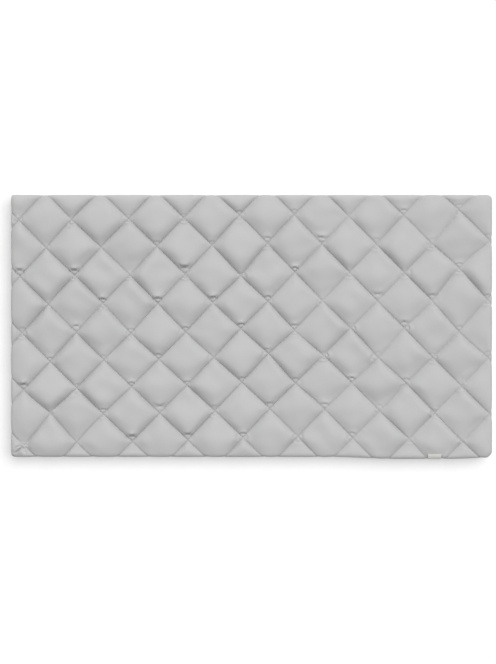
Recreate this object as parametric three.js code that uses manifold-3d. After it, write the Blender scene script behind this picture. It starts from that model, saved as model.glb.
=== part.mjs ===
// A quilted fitted sheet for a travel cot, pulled over its mattress.
//
// Units are millimetres and +Z is up. The origin lies on the surface the part rests on, under the
// middle of its outline. +X runs along the length. The label is on the -Y edge.
import * as THREE from "three";
import { mergeVertices } from "three/addons/utils/BufferGeometryUtils.js";
import Module from "manifold-3d";

const wasm = await Module();
wasm.setup();

// Outline of the made-up sheet, seen from above.
const HALF_LENGTH = 550;
const BACK_EDGE = 302;
const CORNER_RADIUS = { frontLeft: 8, frontRight: 15, backRight: 12, backLeft: 5 };
const CORNER_STEPS = 4;
// The front edge is not quite straight: it bellies out where the label pulls on it.
const FRONT_EDGE = [
  { x: -550, out: 296.9 },
  { x: 195, out: 297.2 },
  { x: 325, out: 301.6 },
  { x: 450, out: 301.5 },
  { x: 550, out: 298.6 },
];
const FRONT_STEPS = 10;

// The quilted cloth, from the mattress outwards. It puffs up less where it is stretched tight.
const GAP = 0.3;
const STITCH_THICKNESS = 2;
const TOP_LOFT = 7;
const SIDE_LOFT = 2;
const UNDER_THICKNESS = 3.5;

// Mattress height and the roundings, as radii in the vertical section.
const MATTRESS_HEIGHT = 50;
const MATTRESS_EDGE_RADIUS = 6;
const SHOULDER_RADIUS = 14;
const FOOT_RADIUS = 9;
const ARC_STEPS = 4;

// Elastic hem: how far the cloth tucks in under the mattress.
const TUCK_DEPTH = 78;
const OPENING_CORNER_RADIUS = 60;

// Sizes that follow from those above.
const MATTRESS_BOTTOM = UNDER_THICKNESS + GAP;
const MATTRESS_TOP = MATTRESS_BOTTOM + MATTRESS_HEIGHT;
const MATTRESS_INSET = SIDE_LOFT + STITCH_THICKNESS + GAP;
const STITCH_TOP = MATTRESS_TOP + GAP + STITCH_THICKNESS;
const STITCH_BEND_RADIUS = MATTRESS_EDGE_RADIUS + GAP + STITCH_THICKNESS;
const CREST_TOP = STITCH_TOP + TOP_LOFT;

// Quilting: diamonds on the square, slightly turned on the sheet, as they were sewn.
const DIAMOND = { along: 125.7, across: 127.7 };
const ROW_TILT = THREE.MathUtils.degToRad(0.6);
const COLUMN_TILT = THREE.MathUtils.degToRad(1.07);
const FIRST_CROSSING = { x: -24.7, y: -4.9 };
// Where handling and sewing have pulled the stitch lines off their straight course.
const DRIFTS = [
  { x: -440, y: -20, spread: 130, along: 0, across: -5 },
  { x: -530, y: -210, spread: 90, along: 3, across: -6 },
  { x: -458, y: -201, spread: 40, along: 0, across: 9 },
  { x: -370, y: -225, spread: 70, along: -5, across: 3 },
  { x: -405, y: 245, spread: 60, along: -5, across: 0 },
  { x: -150, y: -15, spread: 70, along: 0, across: -6 },
  { x: -24, y: 116, spread: 45, along: 2, across: -7 },
  { x: 30, y: 260, spread: 80, along: 2, across: 7 },
  { x: 60, y: -225, spread: 140, along: 0, across: 9 },
  { x: 100, y: -9, spread: 50, along: -3, across: -6 },
  { x: 350, y: 60, spread: 90, along: 0, across: -4 },
  { x: 475, y: -13, spread: 50, along: -4, across: -6 },
  { x: 475, y: 132, spread: 45, along: -3, across: 8 },
  { x: 475, y: 265, spread: 65, along: 0, across: 12 },
  { x: 500, y: -170, spread: 130, along: 0, across: -9 },
  { x: 545, y: 190, spread: 50, along: 8, across: 0 },
  { x: -520, y: -60, spread: 80, along: 3, across: 0 },
  { x: -400, y: 60, spread: 45, along: 0, across: 4 },
  { x: 39, y: -67, spread: 35, along: 0, across: 4 },
  { x: 104, y: -127, spread: 35, along: -3, across: -4 },
  { x: 353, y: -8, spread: 35, along: -3, across: 3 },
  { x: 358, y: -261, spread: 45, along: 3, across: 3 },
  { x: 395, y: -125, spread: 55, along: -1, across: 4 },
  { x: 412, y: 193, spread: 40, along: 1, across: -5 },
  { x: 290, y: -67, spread: 30, along: 0, across: -4 },
  { x: -276, y: -11, spread: 35, along: 0, across: -3.5 },
];
// Section of one diamond from stitch line to stitch line, as shares of its side and of its loft: on
// the top, and where it is stretched tight.
const PUFF_SECTION = [
  { at: 0, rise: 0 },
  { at: 0.13, rise: 0.6 },
  { at: 0.5, rise: 1 },
  { at: 0.87, rise: 0.6 },
];
const TIGHT_SECTION = [
  { at: 0, rise: 0 },
  { at: 0.2, rise: 1 },
  { at: 0.8, rise: 1 },
];
// The flats that make up the shoulder and the side: how far the cloth has turned down there, and how
// much it puffs up.
const FLATS = [
  { turned: THREE.MathUtils.degToRad(30), puff: 5 },
  { turned: THREE.MathUtils.degToRad(62), puff: 3 },
  { turned: THREE.MathUtils.degToRad(90), puff: SIDE_LOFT },
];
// Room that is cleared above the quilting when the block is cut to it.
const CLEARED = 25;

// Woven label, sewn flat over the shoulder of the front edge.
const LABEL = { x: 418, width: 31, inboard: 10.5, drop: 17, thickness: 0.8 };

const SHEET_GREY = 0xbdbdbd;
const LABEL_WHITE = 0xe4e4e0;
const MATTRESS_WHITE = 0xe9e7e2;

// A closed geometry as a solid that can be joined and cut.
function toSolid(geometry) {
  geometry.deleteAttribute("normal");
  geometry.deleteAttribute("uv");
  const merged = mergeVertices(geometry, 1e-4);
  return new wasm.Manifold(
    new wasm.Mesh({
      numProp: 3,
      vertProperties: merged.attributes.position.array,
      triVerts: new Uint32Array(merged.index.array),
    }),
  );
}

// A solid as a geometry for a mesh.
function toGeometry(solid) {
  const mesh = solid.getMesh();
  return new THREE.BufferGeometry()
    .setAttribute("position", new THREE.BufferAttribute(mesh.vertProperties, 3))
    .setIndex(new THREE.BufferAttribute(mesh.triVerts, 1));
}

// How far out the front edge lies at a place along it.
function frontEdge(x) {
  const k = FRONT_EDGE.findIndex((p) => x < p.x);
  if (k < 1) {
    return (k === 0 ? FRONT_EDGE[0] : FRONT_EDGE.at(-1)).out;
  }
  const [from, to] = [FRONT_EDGE[k - 1], FRONT_EDGE[k]];
  return THREE.MathUtils.lerp(from.out, to.out, THREE.MathUtils.smoothstep(x, from.x, to.x));
}

// The four sides: which way each faces, and how far out it lies at a place along it.
const SIDES = [
  { out: new THREE.Vector2(1, 0), edge: () => HALF_LENGTH },
  { out: new THREE.Vector2(-1, 0), edge: () => HALF_LENGTH },
  { out: new THREE.Vector2(0, 1), edge: () => BACK_EDGE },
  { out: new THREE.Vector2(0, -1), edge: frontEdge },
];

// Points of the outline, anticlockwise, moved inwards by inset. Their number never changes.
function outline(inset) {
  const half = HALF_LENGTH - inset;
  const back = BACK_EDGE - inset;
  const corner = (x, y, startAngle, fullRadius) => {
    const r = Math.max(fullRadius - inset, 1);
    const middle = startAngle + Math.PI / 4;
    const cx = x - Math.sign(Math.cos(middle)) * r;
    const cy = y - Math.sign(Math.sin(middle)) * r;
    return Array.from({ length: CORNER_STEPS + 1 }, (_, k) => {
      const a = startAngle + ((Math.PI / 2) * k) / CORNER_STEPS;
      return new THREE.Vector2(cx + r * Math.cos(a), cy + r * Math.sin(a));
    });
  };
  const front = Array.from({ length: FRONT_STEPS - 1 }, (_, k) => {
    const x = half * ((2 * (k + 1)) / FRONT_STEPS - 1);
    return new THREE.Vector2(x, inset - frontEdge(x));
  });
  return [
    ...corner(-half, inset - frontEdge(-half), Math.PI, CORNER_RADIUS.frontLeft),
    ...front,
    ...corner(half, inset - frontEdge(half), 1.5 * Math.PI, CORNER_RADIUS.frontRight),
    ...corner(half, back, 0, CORNER_RADIUS.backRight),
    ...corner(-half, back, 0.5 * Math.PI, CORNER_RADIUS.backLeft),
  ];
}

// A closed block from rings of the outline, lowest first, each with its inset and its height.
function loft(rings) {
  const loops = rings.map((ring) => outline(ring.inset));
  const count = loops[0].length;
  const positions = [];
  loops.forEach((loop, k) => loop.forEach((p) => positions.push(p.x, p.y, rings[k].z)));
  const index = [];
  for (let k = 0; k + 1 < rings.length; k++) {
    for (let i = 0; i < count; i++) {
      const a = k * count + i;
      const b = k * count + ((i + 1) % count);
      index.push(a, b, b + count, a, b + count, a + count);
    }
  }
  const low = positions.length / 3;
  positions.push(0, 0, rings[0].z, 0, 0, rings.at(-1).z);
  const last = (rings.length - 1) * count;
  for (let i = 0; i < count; i++) {
    const next = (i + 1) % count;
    index.push(low, next, i, low + 1, last + i, last + next);
  }
  const geometry = new THREE.BufferGeometry()
    .setAttribute("position", new THREE.Float32BufferAttribute(positions, 3))
    .setIndex(index);
  return toSolid(geometry);
}

// A block with the outline's plan, upright sides and rounded edges above and below.
function roundedBlock(inset, bottom, top, footRadius, shoulderRadius) {
  const rings = [];
  for (let k = 0; k <= ARC_STEPS; k++) {
    const a = ((Math.PI / 2) * k) / ARC_STEPS;
    const z = bottom + footRadius * (1 - Math.cos(a));
    rings.push({ inset: inset + footRadius * (1 - Math.sin(a)), z });
  }
  for (let k = ARC_STEPS; k >= 0; k--) {
    const a = ((Math.PI / 2) * k) / ARC_STEPS;
    const z = top - shoulderRadius * (1 - Math.cos(a));
    rings.push({ inset: inset + shoulderRadius * (1 - Math.sin(a)), z });
  }
  return loft(rings);
}

// Place of a stitch crossing on the cloth, i diamonds down to the right and j up to the right.
function crossing(i, j) {
  const columns = (i + j) / 2;
  const rows = (j - i) / 2;
  const x =
    FIRST_CROSSING.x +
    columns * DIAMOND.along * Math.cos(ROW_TILT) -
    rows * DIAMOND.across * Math.sin(COLUMN_TILT);
  const y =
    FIRST_CROSSING.y +
    columns * DIAMOND.along * Math.sin(ROW_TILT) +
    rows * DIAMOND.across * Math.cos(COLUMN_TILT);
  const place = new THREE.Vector2(x, y);
  for (const d of DRIFTS) {
    const fade = Math.exp(-((x - d.x) ** 2 + (y - d.y) ** 2) / (2 * d.spread ** 2));
    place.add(new THREE.Vector2(d.along * fade, d.across * fade));
  }
  return place;
}

// Which diamonds cover a rectangle of the cloth, with one to spare all round.
function cellsOver(corners) {
  const places = corners.map((p) => {
    const columns = (p.x - FIRST_CROSSING.x) / DIAMOND.along;
    const rows = (p.y - FIRST_CROSSING.y) / DIAMOND.across;
    return { i: columns - rows, j: columns + rows };
  });
  return {
    i0: Math.floor(Math.min(...places.map((c) => c.i))) - 1,
    i1: Math.ceil(Math.max(...places.map((c) => c.i))) + 1,
    j0: Math.floor(Math.min(...places.map((c) => c.j))) - 1,
    j1: Math.ceil(Math.max(...places.map((c) => c.j))) + 1,
  };
}

// The room above the quilting over a rectangle of the cloth, as a solid to cut away. put(p, rise)
// places the point p of the cloth at that height above its stitch lines.
function roomAbove(corners, section, puff, put) {
  const cells = cellsOver(corners);
  const steps = section.length;
  const ni = (cells.i1 - cells.i0) * steps;
  const nj = (cells.j1 - cells.j0) * steps;
  const room = new THREE.BoxGeometry(1, 1, 1, ni, nj, 1);
  const position = room.attributes.position;
  for (let k = 0; k < position.count; k++) {
    const a = Math.round((position.getX(k) + 0.5) * ni);
    const b = Math.round((position.getY(k) + 0.5) * nj);
    const s = section[a % steps];
    const t = section[b % steps];
    const i = cells.i0 + Math.floor(a / steps);
    const j = cells.j0 + Math.floor(b / steps);
    const start = crossing(i, j).lerp(crossing(i + 1, j), s.at);
    const end = crossing(i, j + 1).lerp(crossing(i + 1, j + 1), s.at);
    const rise = puff * s.rise * t.rise + (position.getZ(k) > 0 ? CLEARED : 0);
    const point = put(start.lerp(end, t.at), rise);
    position.setXYZ(k, point.x, point.y, point.z);
  }
  return toSolid(room);
}

// The room outside one side where it has turned down by an angle: on the shoulder, or on the side
// itself. The stitch lines run on from the top, as they do on the flat cloth.
function roomOutside(side, angle, puff, lift) {
  const along = new THREE.Vector2(-side.out.y, side.out.x);
  const [sin, cos] = [Math.sin(angle), Math.cos(angle)];
  const r = STITCH_BEND_RADIUS;
  const bend = (p) => side.edge(p.x) - SIDE_LOFT - r;
  const put = (p, rise) => {
    const past = p.dot(side.out) - bend(p) - r * angle;
    const out = bend(p) + (r + rise + lift) * sin + past * cos;
    const place = side.out.clone().multiplyScalar(out).addScaledVector(along, p.dot(along));
    return new THREE.Vector3(place.x, place.y, STITCH_TOP - r + (r + rise + lift) * cos - past * sin);
  };
  const far = Math.abs(along.x) * HALF_LENGTH + Math.abs(along.y) * BACK_EDGE;
  const near = bend(new THREE.Vector2(0, 0));
  const deep = near + STITCH_TOP * sin;
  const corners = [near, deep].flatMap((w) =>
    [-far, far].map((v) => side.out.clone().multiplyScalar(w).addScaledVector(along, v)),
  );
  return roomAbove(corners, TIGHT_SECTION, puff, put);
}

// The outer form of the sheet, everywhere lifted off it by lift.
function outerForm(lift) {
  const corners = [-HALF_LENGTH, HALF_LENGTH].flatMap((x) =>
    [-BACK_EDGE, BACK_EDGE].map((y) => new THREE.Vector2(x, y)),
  );
  const top = roomAbove(corners, PUFF_SECTION, TOP_LOFT, (p, rise) =>
    new THREE.Vector3(p.x, p.y, STITCH_TOP + rise + lift),
  );
  const block = roundedBlock(-lift, -lift, CREST_TOP + lift, FOOT_RADIUS, SHOULDER_RADIUS);
  const outside = SIDES.flatMap((side) =>
    FLATS.map((flat) => roomOutside(side, flat.turned, flat.puff, lift)),
  );
  return outside.reduce((form, room) => form.subtract(room), block.subtract(top));
}

// The quilted sheet: one cloth over the top and the sides, tucked in under the mattress.
function quiltedSheet() {
  const cavity = roundedBlock(
    MATTRESS_INSET - GAP,
    MATTRESS_BOTTOM - GAP,
    MATTRESS_TOP + GAP,
    MATTRESS_EDGE_RADIUS + GAP,
    MATTRESS_EDGE_RADIUS + GAP,
  );
  const halfX = HALF_LENGTH - TUCK_DEPTH;
  const halfY = BACK_EDGE - TUCK_DEPTH;
  const r = OPENING_CORNER_RADIUS;
  const opening = new THREE.Shape()
    .moveTo(-halfX + r, -halfY)
    .lineTo(halfX - r, -halfY)
    .absarc(halfX - r, -halfY + r, r, -Math.PI / 2, 0)
    .lineTo(halfX, halfY - r)
    .absarc(halfX - r, halfY - r, r, 0, Math.PI / 2)
    .lineTo(-halfX + r, halfY)
    .absarc(-halfX + r, halfY - r, r, Math.PI / 2, Math.PI)
    .lineTo(-halfX, -halfY + r)
    .absarc(-halfX + r, -halfY + r, r, Math.PI, 1.5 * Math.PI);
  const cut = new THREE.ExtrudeGeometry(opening, {
    depth: 2 * UNDER_THICKNESS,
    bevelEnabled: false,
    curveSegments: 6,
  }).translate(0, 0, -UNDER_THICKNESS / 2);
  return outerForm(0).subtract(cavity).subtract(toSolid(cut));
}

// The label: a strip of ribbon that lies on the quilting and follows its shape.
function sideLabel() {
  const ribbon = outerForm(GAP + LABEL.thickness).subtract(outerForm(GAP));
  const edgeY = -frontEdge(LABEL.x);
  // The box reaches this far out past the ribbon.
  const reach = 10;
  const box = new THREE.BoxGeometry(LABEL.width, LABEL.inboard + reach, LABEL.drop + reach).translate(
    LABEL.x,
    edgeY + (LABEL.inboard - reach) / 2,
    CREST_TOP + (reach - LABEL.drop) / 2,
  );
  return ribbon.intersect(toSolid(box));
}

// The mattress: a plain foam block.
function mattress() {
  return roundedBlock(
    MATTRESS_INSET,
    MATTRESS_BOTTOM,
    MATTRESS_TOP,
    MATTRESS_EDGE_RADIUS,
    MATTRESS_EDGE_RADIUS,
  );
}

// One piece of the part, named and coloured.
function part(name, solid, color) {
  const material = new THREE.MeshStandardMaterial({ color, roughness: 0.9, metalness: 0 });
  const mesh = new THREE.Mesh(toGeometry(solid), material);
  mesh.name = name;
  return mesh;
}

const group = new THREE.Group();
group.add(part("quilted_sheet", quiltedSheet(), SHEET_GREY));
group.add(part("side_label", sideLabel(), LABEL_WHITE));
group.add(part("mattress", mattress(), MATTRESS_WHITE));
export default group;
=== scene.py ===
"""Looks of a travel cot fitted sheet: quilted cloth, its stitching, a bare label and the mattress inside."""

import logging
import math
from dataclasses import dataclass, replace
from enum import Enum
from typing import Dict, List, Sequence, Tuple

import bmesh
import bpy
import numpy as np
from mathutils import Matrix, Vector, noise


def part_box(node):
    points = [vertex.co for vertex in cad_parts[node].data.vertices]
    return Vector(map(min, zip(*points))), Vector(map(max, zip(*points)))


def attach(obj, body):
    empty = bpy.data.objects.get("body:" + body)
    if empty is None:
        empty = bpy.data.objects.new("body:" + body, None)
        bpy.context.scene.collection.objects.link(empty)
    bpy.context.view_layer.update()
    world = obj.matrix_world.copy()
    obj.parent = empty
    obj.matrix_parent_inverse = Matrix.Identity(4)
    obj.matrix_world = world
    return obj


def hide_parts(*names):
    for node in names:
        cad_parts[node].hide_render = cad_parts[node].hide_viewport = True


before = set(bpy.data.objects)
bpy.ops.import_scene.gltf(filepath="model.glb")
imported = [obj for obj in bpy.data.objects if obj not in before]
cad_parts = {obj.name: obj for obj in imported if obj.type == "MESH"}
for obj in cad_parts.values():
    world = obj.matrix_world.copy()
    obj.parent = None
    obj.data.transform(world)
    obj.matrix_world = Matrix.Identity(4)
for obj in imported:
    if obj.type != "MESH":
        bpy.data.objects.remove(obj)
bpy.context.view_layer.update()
LOG = logging.getLogger("fitted_sheet")
MM = 0.001
# Vertices as close as this to a cutting plane, in metres, are taken to lie on it.
CUT_TOLERANCE = 1e-7
# How far out the front edge lies before it bows in, in mm.
STRAIGHT_FRONT = 302


class Side(Enum):
    """The parts of the cloth, each named by the way it faces."""

    TOP = (0, 0)
    RIGHT = (1, 0)
    LEFT = (-1, 0)
    BACK = (0, 1)
    FRONT = (0, -1)


class Pull(Enum):
    """The side of a stitch crossing on which the cloth has tucked, in quarter turns from east."""

    EAST = 0
    NORTH = 1
    WEST = 2
    SOUTH = 3


class NoiseLayer(Enum):
    """The depth at which each pattern reads the noise, so that no two are alike."""

    SAG = 1.7
    DENTS = 3.1
    FOLDS = 5.3
    RIPPLES = 8.7


@dataclass(frozen=True)
class Drift:
    """A place where the stitch lines have strayed, in mm on the flat cloth."""

    x: float
    y: float
    spread: float
    along: float
    across: float


@dataclass(frozen=True)
class Tuck:
    """A small fold across the corner of a diamond, beside the crossing i, j. Sizes in mm, turn in degrees."""

    i: int
    j: int
    pull: Pull
    out: float
    width: float
    depth: float
    turn: float = 0


@dataclass(frozen=True)
class Pit:
    """A small dip beside the crossing i, j, or a small lump where its depth is negative. Sizes in mm."""

    i: int
    j: int
    x: float
    y: float
    radius: float
    depth: float


@dataclass(frozen=True)
class Lean:
    """A diamond whose filling has slipped: to the back, or to the front where back is below 0.

    Its west corner is the crossing i, j.
    """

    i: int
    j: int
    back: float


DRIFTS = (
    Drift(x=-440, y=-20, spread=130, along=0, across=-5),
    Drift(x=-530, y=-210, spread=90, along=3, across=-6),
    Drift(x=-458, y=-201, spread=40, along=0, across=9),
    Drift(x=-370, y=-225, spread=70, along=-5, across=3),
    Drift(x=-405, y=245, spread=60, along=-5, across=0),
    Drift(x=-150, y=-15, spread=70, along=0, across=-6),
    Drift(x=-24, y=116, spread=45, along=2, across=-7),
    Drift(x=30, y=260, spread=80, along=2, across=7),
    Drift(x=60, y=-225, spread=140, along=0, across=9),
    Drift(x=100, y=-9, spread=50, along=-3, across=-6),
    Drift(x=350, y=60, spread=90, along=0, across=-4),
    Drift(x=475, y=-13, spread=50, along=-4, across=-6),
    Drift(x=475, y=132, spread=45, along=-3, across=8),
    Drift(x=475, y=265, spread=65, along=0, across=12),
    Drift(x=500, y=-170, spread=130, along=0, across=-9),
    Drift(x=545, y=190, spread=50, along=8, across=0),
    Drift(x=-520, y=-60, spread=80, along=3, across=0),
    Drift(x=-400, y=60, spread=45, along=0, across=4),
    Drift(x=39, y=-67, spread=35, along=0, across=4),
    Drift(x=104, y=-127, spread=35, along=-3, across=-4),
    Drift(x=353, y=-8, spread=35, along=-3, across=3),
    Drift(x=358, y=-261, spread=45, along=3, across=3),
    Drift(x=395, y=-125, spread=55, along=-1, across=4),
    Drift(x=412, y=193, spread=40, along=1, across=-5),
    Drift(x=290, y=-67, spread=30, along=0, across=-4),
    Drift(x=-276, y=-11, spread=35, along=0, across=-3.5),
)

# The tucks that stand out. A depth of 0 keeps that side of a crossing clear.
TUCKS = (
    Tuck(i=-5, j=-3, pull=Pull.NORTH, out=17, width=24, depth=1.4),
    Tuck(i=-4, j=-2, pull=Pull.NORTH, out=15, width=28, depth=1.6),
    Tuck(i=-2, j=0, pull=Pull.NORTH, out=19, width=36, depth=1.3, turn=-6),
    Tuck(i=-3, j=-2, pull=Pull.NORTH, out=12, width=24, depth=1.1),
    Tuck(i=-2, j=-1, pull=Pull.NORTH, out=14, width=26, depth=1.4),
    Tuck(i=-1, j=0, pull=Pull.NORTH, out=15, width=24, depth=1.3, turn=-12),
    Tuck(i=0, j=0, pull=Pull.NORTH, out=14, width=24, depth=1.4, turn=-16),
    Tuck(i=3, j=3, pull=Pull.NORTH, out=18, width=28, depth=1.2),
    Tuck(i=-3, j=-4, pull=Pull.NORTH, out=10, width=20, depth=0.5),
    Tuck(i=-1, j=-3, pull=Pull.NORTH, out=11, width=20, depth=1.1),
    Tuck(i=-3, j=-5, pull=Pull.NORTH, out=16, width=24, depth=1.4, turn=-8),
    Tuck(i=3, j=1, pull=Pull.NORTH, out=14, width=22, depth=1.2),
    Tuck(i=0, j=-4, pull=Pull.NORTH, out=16, width=26, depth=1.5, turn=-5),
    Tuck(i=0, j=3, pull=Pull.NORTH, out=17, width=36, depth=1.5, turn=-20),
    Tuck(i=0, j=2, pull=Pull.NORTH, out=12, width=20, depth=1.4),
    Tuck(i=2, j=3, pull=Pull.NORTH, out=19, width=36, depth=0.7),
    Tuck(i=0, j=1, pull=Pull.NORTH, out=13, width=22, depth=0.8),
    Tuck(i=-1, j=2, pull=Pull.NORTH, out=14, width=24, depth=0.6),
    Tuck(i=1, j=5, pull=Pull.NORTH, out=14, width=24, depth=0.6),
    Tuck(i=-5, j=-2, pull=Pull.NORTH, out=10, width=20, depth=0),
    Tuck(i=-4, j=-1, pull=Pull.NORTH, out=10, width=20, depth=0.1),
    Tuck(i=-3, j=0, pull=Pull.NORTH, out=12, width=22, depth=0.3),
    Tuck(i=-2, j=1, pull=Pull.NORTH, out=10, width=20, depth=0.3),
    Tuck(i=-2, j=2, pull=Pull.NORTH, out=10, width=20, depth=0.3),
    Tuck(i=-2, j=-6, pull=Pull.NORTH, out=10, width=20, depth=0),
    Tuck(i=-3, j=-3, pull=Pull.NORTH, out=16, width=26, depth=0.8),
    Tuck(i=0, j=-3, pull=Pull.NORTH, out=20, width=34, depth=0.8, turn=8),
    Tuck(i=-2, j=-4, pull=Pull.NORTH, out=10, width=18, depth=0.3),
    Tuck(i=1, j=-3, pull=Pull.NORTH, out=16, width=26, depth=0.8),
    Tuck(i=3, j=0, pull=Pull.NORTH, out=15, width=24, depth=0.8),
    Tuck(i=4, j=2, pull=Pull.NORTH, out=13, width=20, depth=0.5),
    Tuck(i=-1, j=2, pull=Pull.SOUTH, out=11, width=22, depth=0.9),
    Tuck(i=1, j=3, pull=Pull.SOUTH, out=12, width=24, depth=0.7),
    Tuck(i=-5, j=-1, pull=Pull.SOUTH, out=15, width=22, depth=1.0),
    Tuck(i=-4, j=0, pull=Pull.SOUTH, out=10, width=20, depth=1.0),
    Tuck(i=-3, j=1, pull=Pull.SOUTH, out=10, width=20, depth=0.9),
    Tuck(i=-4, j=-2, pull=Pull.SOUTH, out=10, width=22, depth=1.0, turn=-10),
    Tuck(i=-3, j=-1, pull=Pull.SOUTH, out=9, width=20, depth=1.0),
    Tuck(i=-2, j=0, pull=Pull.SOUTH, out=10, width=20, depth=0.9, turn=12),
    Tuck(i=-3, j=-2, pull=Pull.SOUTH, out=13, width=22, depth=0.9),
    Tuck(i=-2, j=-4, pull=Pull.SOUTH, out=20, width=24, depth=0.8),
    Tuck(i=2, j=1, pull=Pull.SOUTH, out=11, width=22, depth=1.0),
    Tuck(i=2, j=5, pull=Pull.SOUTH, out=12, width=24, depth=0.9, turn=-15),
    Tuck(i=3, j=3, pull=Pull.EAST, out=12, width=20, depth=0.8),
    Tuck(i=2, j=1, pull=Pull.EAST, out=11, width=18, depth=0.8),
    Tuck(i=2, j=2, pull=Pull.EAST, out=11, width=18, depth=0.7),
    Tuck(i=5, j=2, pull=Pull.WEST, out=10, width=16, depth=1.0),
    Tuck(i=3, j=2, pull=Pull.WEST, out=18, width=24, depth=0.8),
    Tuck(i=6, j=2, pull=Pull.WEST, out=7, width=10, depth=0.6),
)

PITS = (
    Pit(i=4, j=2, x=-9, y=-6, radius=4, depth=3.4),
    Pit(i=4, j=2, x=0, y=-10, radius=3.4, depth=3),
    Pit(i=4, j=2, x=4, y=4, radius=3, depth=-2),
    Pit(i=5, j=2, x=-6, y=-1, radius=3.4, depth=3),
    Pit(i=5, j=2, x=4, y=-6, radius=3, depth=2.6),
    Pit(i=5, j=2, x=2, y=9, radius=3.4, depth=-2.4),
    Pit(i=5, j=3, x=2, y=-4, radius=3.2, depth=2.6),
    Pit(i=5, j=3, x=6, y=7, radius=3, depth=-2),
    Pit(i=6, j=2, x=-1, y=1, radius=3.2, depth=4),
    Pit(i=6, j=2, x=4, y=2, radius=2.6, depth=-2.4),
    Pit(i=4, j=1, x=-9, y=3, radius=3.6, depth=-2.2),
    Pit(i=-2, j=-5, x=7, y=5, radius=4, depth=-3),
    Pit(i=-2, j=-5, x=5, y=-4, radius=3.4, depth=3),
    Pit(i=-6, j=-2, x=-8, y=-2, radius=4, depth=3),
    Pit(i=-6, j=-2, x=-2, y=5, radius=3.4, depth=-2.4),
    Pit(i=-2, j=1, x=3, y=1, radius=3, depth=2.4),
    Pit(i=-1, j=1, x=1, y=3, radius=3, depth=2.6),
    Pit(i=2, j=5, x=-8, y=-1, radius=3.4, depth=3),
    Pit(i=-1, j=3, x=0, y=2, radius=3, depth=2),
)

LEANS = (
    Lean(i=3, j=1, back=1.7),
    Lean(i=2, j=1, back=0.9),
    Lean(i=2, j=0, back=0.5),
    Lean(i=0, j=0, back=0.2),
    Lean(i=-5, j=-1, back=-0.5),
    Lean(i=-4, j=0, back=-0.6),
    Lean(i=-3, j=1, back=-0.5),
    Lean(i=-2, j=2, back=-0.4),
    Lean(i=-5, j=-2, back=-0.3),
    Lean(i=1, j=2, back=-0.4),
    Lean(i=1, j=3, back=-0.4),
)

# How a full diamond flattens towards the shoulder: distance past the bend and height, in mm.
LOFT_ROWS = ((-26, 13.3), (-8, 10), (4.3, 4.8), (9, 1.7))

# How the front edge of the bed bows in: place along it and distance out, in mm.
FRONT_ROWS = ((-550, 296.9), (195, 297.2), (325, 301.6), (450, 301.5), (550, 298.6))


def smooth_step(low: float, high: float, value: np.ndarray) -> np.ndarray:
    """Eases from 0 at low to 1 at high.

    Args:
        low: the value at which the ease starts.
        high: the value at which it is complete.
        value: the numbers to ease.

    Returns:
        The eased share of each number.
    """
    share = np.clip((value - low) / (high - low), 0, 1)
    return share * share * (3 - 2 * share)


def front_bow(x: np.ndarray) -> np.ndarray:
    """How far the front edge stands in from a straight one.

    Args:
        x: places along the bed, in metres.

    Returns:
        The distance in at each place, in metres.
    """
    out = np.full_like(x, FRONT_ROWS[0][1])
    for (x0, out0), (x1, out1) in zip(FRONT_ROWS, FRONT_ROWS[1:]):
        out = out + (out1 - out0) * smooth_step(x0 * MM, x1 * MM, x)
    return (STRAIGHT_FRONT - out) * MM


def soft_noise(x: np.ndarray, y: np.ndarray, scale: float, layer: NoiseLayer) -> np.ndarray:
    """Smooth noise, between about -1 and 1, at places on a plane.

    Args:
        x: places, in metres.
        y: places, in metres.
        scale: how fine it is, as steps of the noise in a metre.
        layer: which layer of the noise is read.

    Returns:
        The noise at each place.
    """
    spots = zip((x * scale).tolist(), (y * scale).tolist())
    return np.array([noise.noise(Vector((a, b, layer.value))) for a, b in spots])


def read_vertices(bm: bmesh.types.BMesh) -> np.ndarray:
    """Gives the vertex places of a bmesh as an array with a row for each."""
    return np.array([v.co[:] for v in bm.verts], float).reshape(-1, 3)


def write_vertices(bm: bmesh.types.BMesh, places: np.ndarray) -> None:
    """Moves the vertices of a bmesh to an array of places."""
    for vertex, place in zip(bm.verts, places.tolist()):
        vertex.co = place


def read_layer(bm: bmesh.types.BMesh, name: str) -> np.ndarray:
    """Gives a vector layer of the vertices as an array with a row for each."""
    layer = bm.verts.layers.float_vector[name]
    return np.array([v[layer][:] for v in bm.verts], float).reshape(-1, 3)


def whole(bm: bmesh.types.BMesh) -> list:
    """Lists all vertices, edges and faces of a bmesh, as its operators take them."""
    return bm.verts[:] + bm.edges[:] + bm.faces[:]


def cut(
    bm: bmesh.types.BMesh,
    geom: list,
    point: Sequence[float],
    normal: Sequence[float],
    clear_outer: bool = False,
) -> None:
    """Cuts a bmesh along a plane.

    Args:
        bm: the bmesh.
        geom: what is cut.
        point: a place on the plane.
        normal: the way that the plane faces.
        clear_outer: whether what lies in front of the plane is dropped.
    """
    bmesh.ops.bisect_plane(
        bm, geom=geom, dist=CUT_TOLERANCE, plane_co=point, plane_no=normal, clear_outer=clear_outer
    )


def pour(part: bmesh.types.BMesh, into: bmesh.types.BMesh) -> None:
    """Adds one bmesh to another with its layers, and frees it.

    Args:
        part: the bmesh that is added.
        into: the bmesh that takes it.
    """
    carrier = bpy.data.meshes.new("carrier")
    part.to_mesh(carrier)
    part.free()
    into.from_mesh(carrier)
    bpy.data.meshes.remove(carrier)


def add_piece(name: str, mesh: bpy.types.Mesh) -> bpy.types.Object:
    """Puts a mesh into the scene as a smooth object at the origin.

    Args:
        name: the name of the piece.
        mesh: its shape, in metres.

    Returns:
        The new object.
    """
    mesh.polygons.foreach_set("use_smooth", [True] * len(mesh.polygons))
    piece = bpy.data.objects.new(name, mesh)
    bpy.context.scene.collection.objects.link(piece)
    return piece


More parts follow.
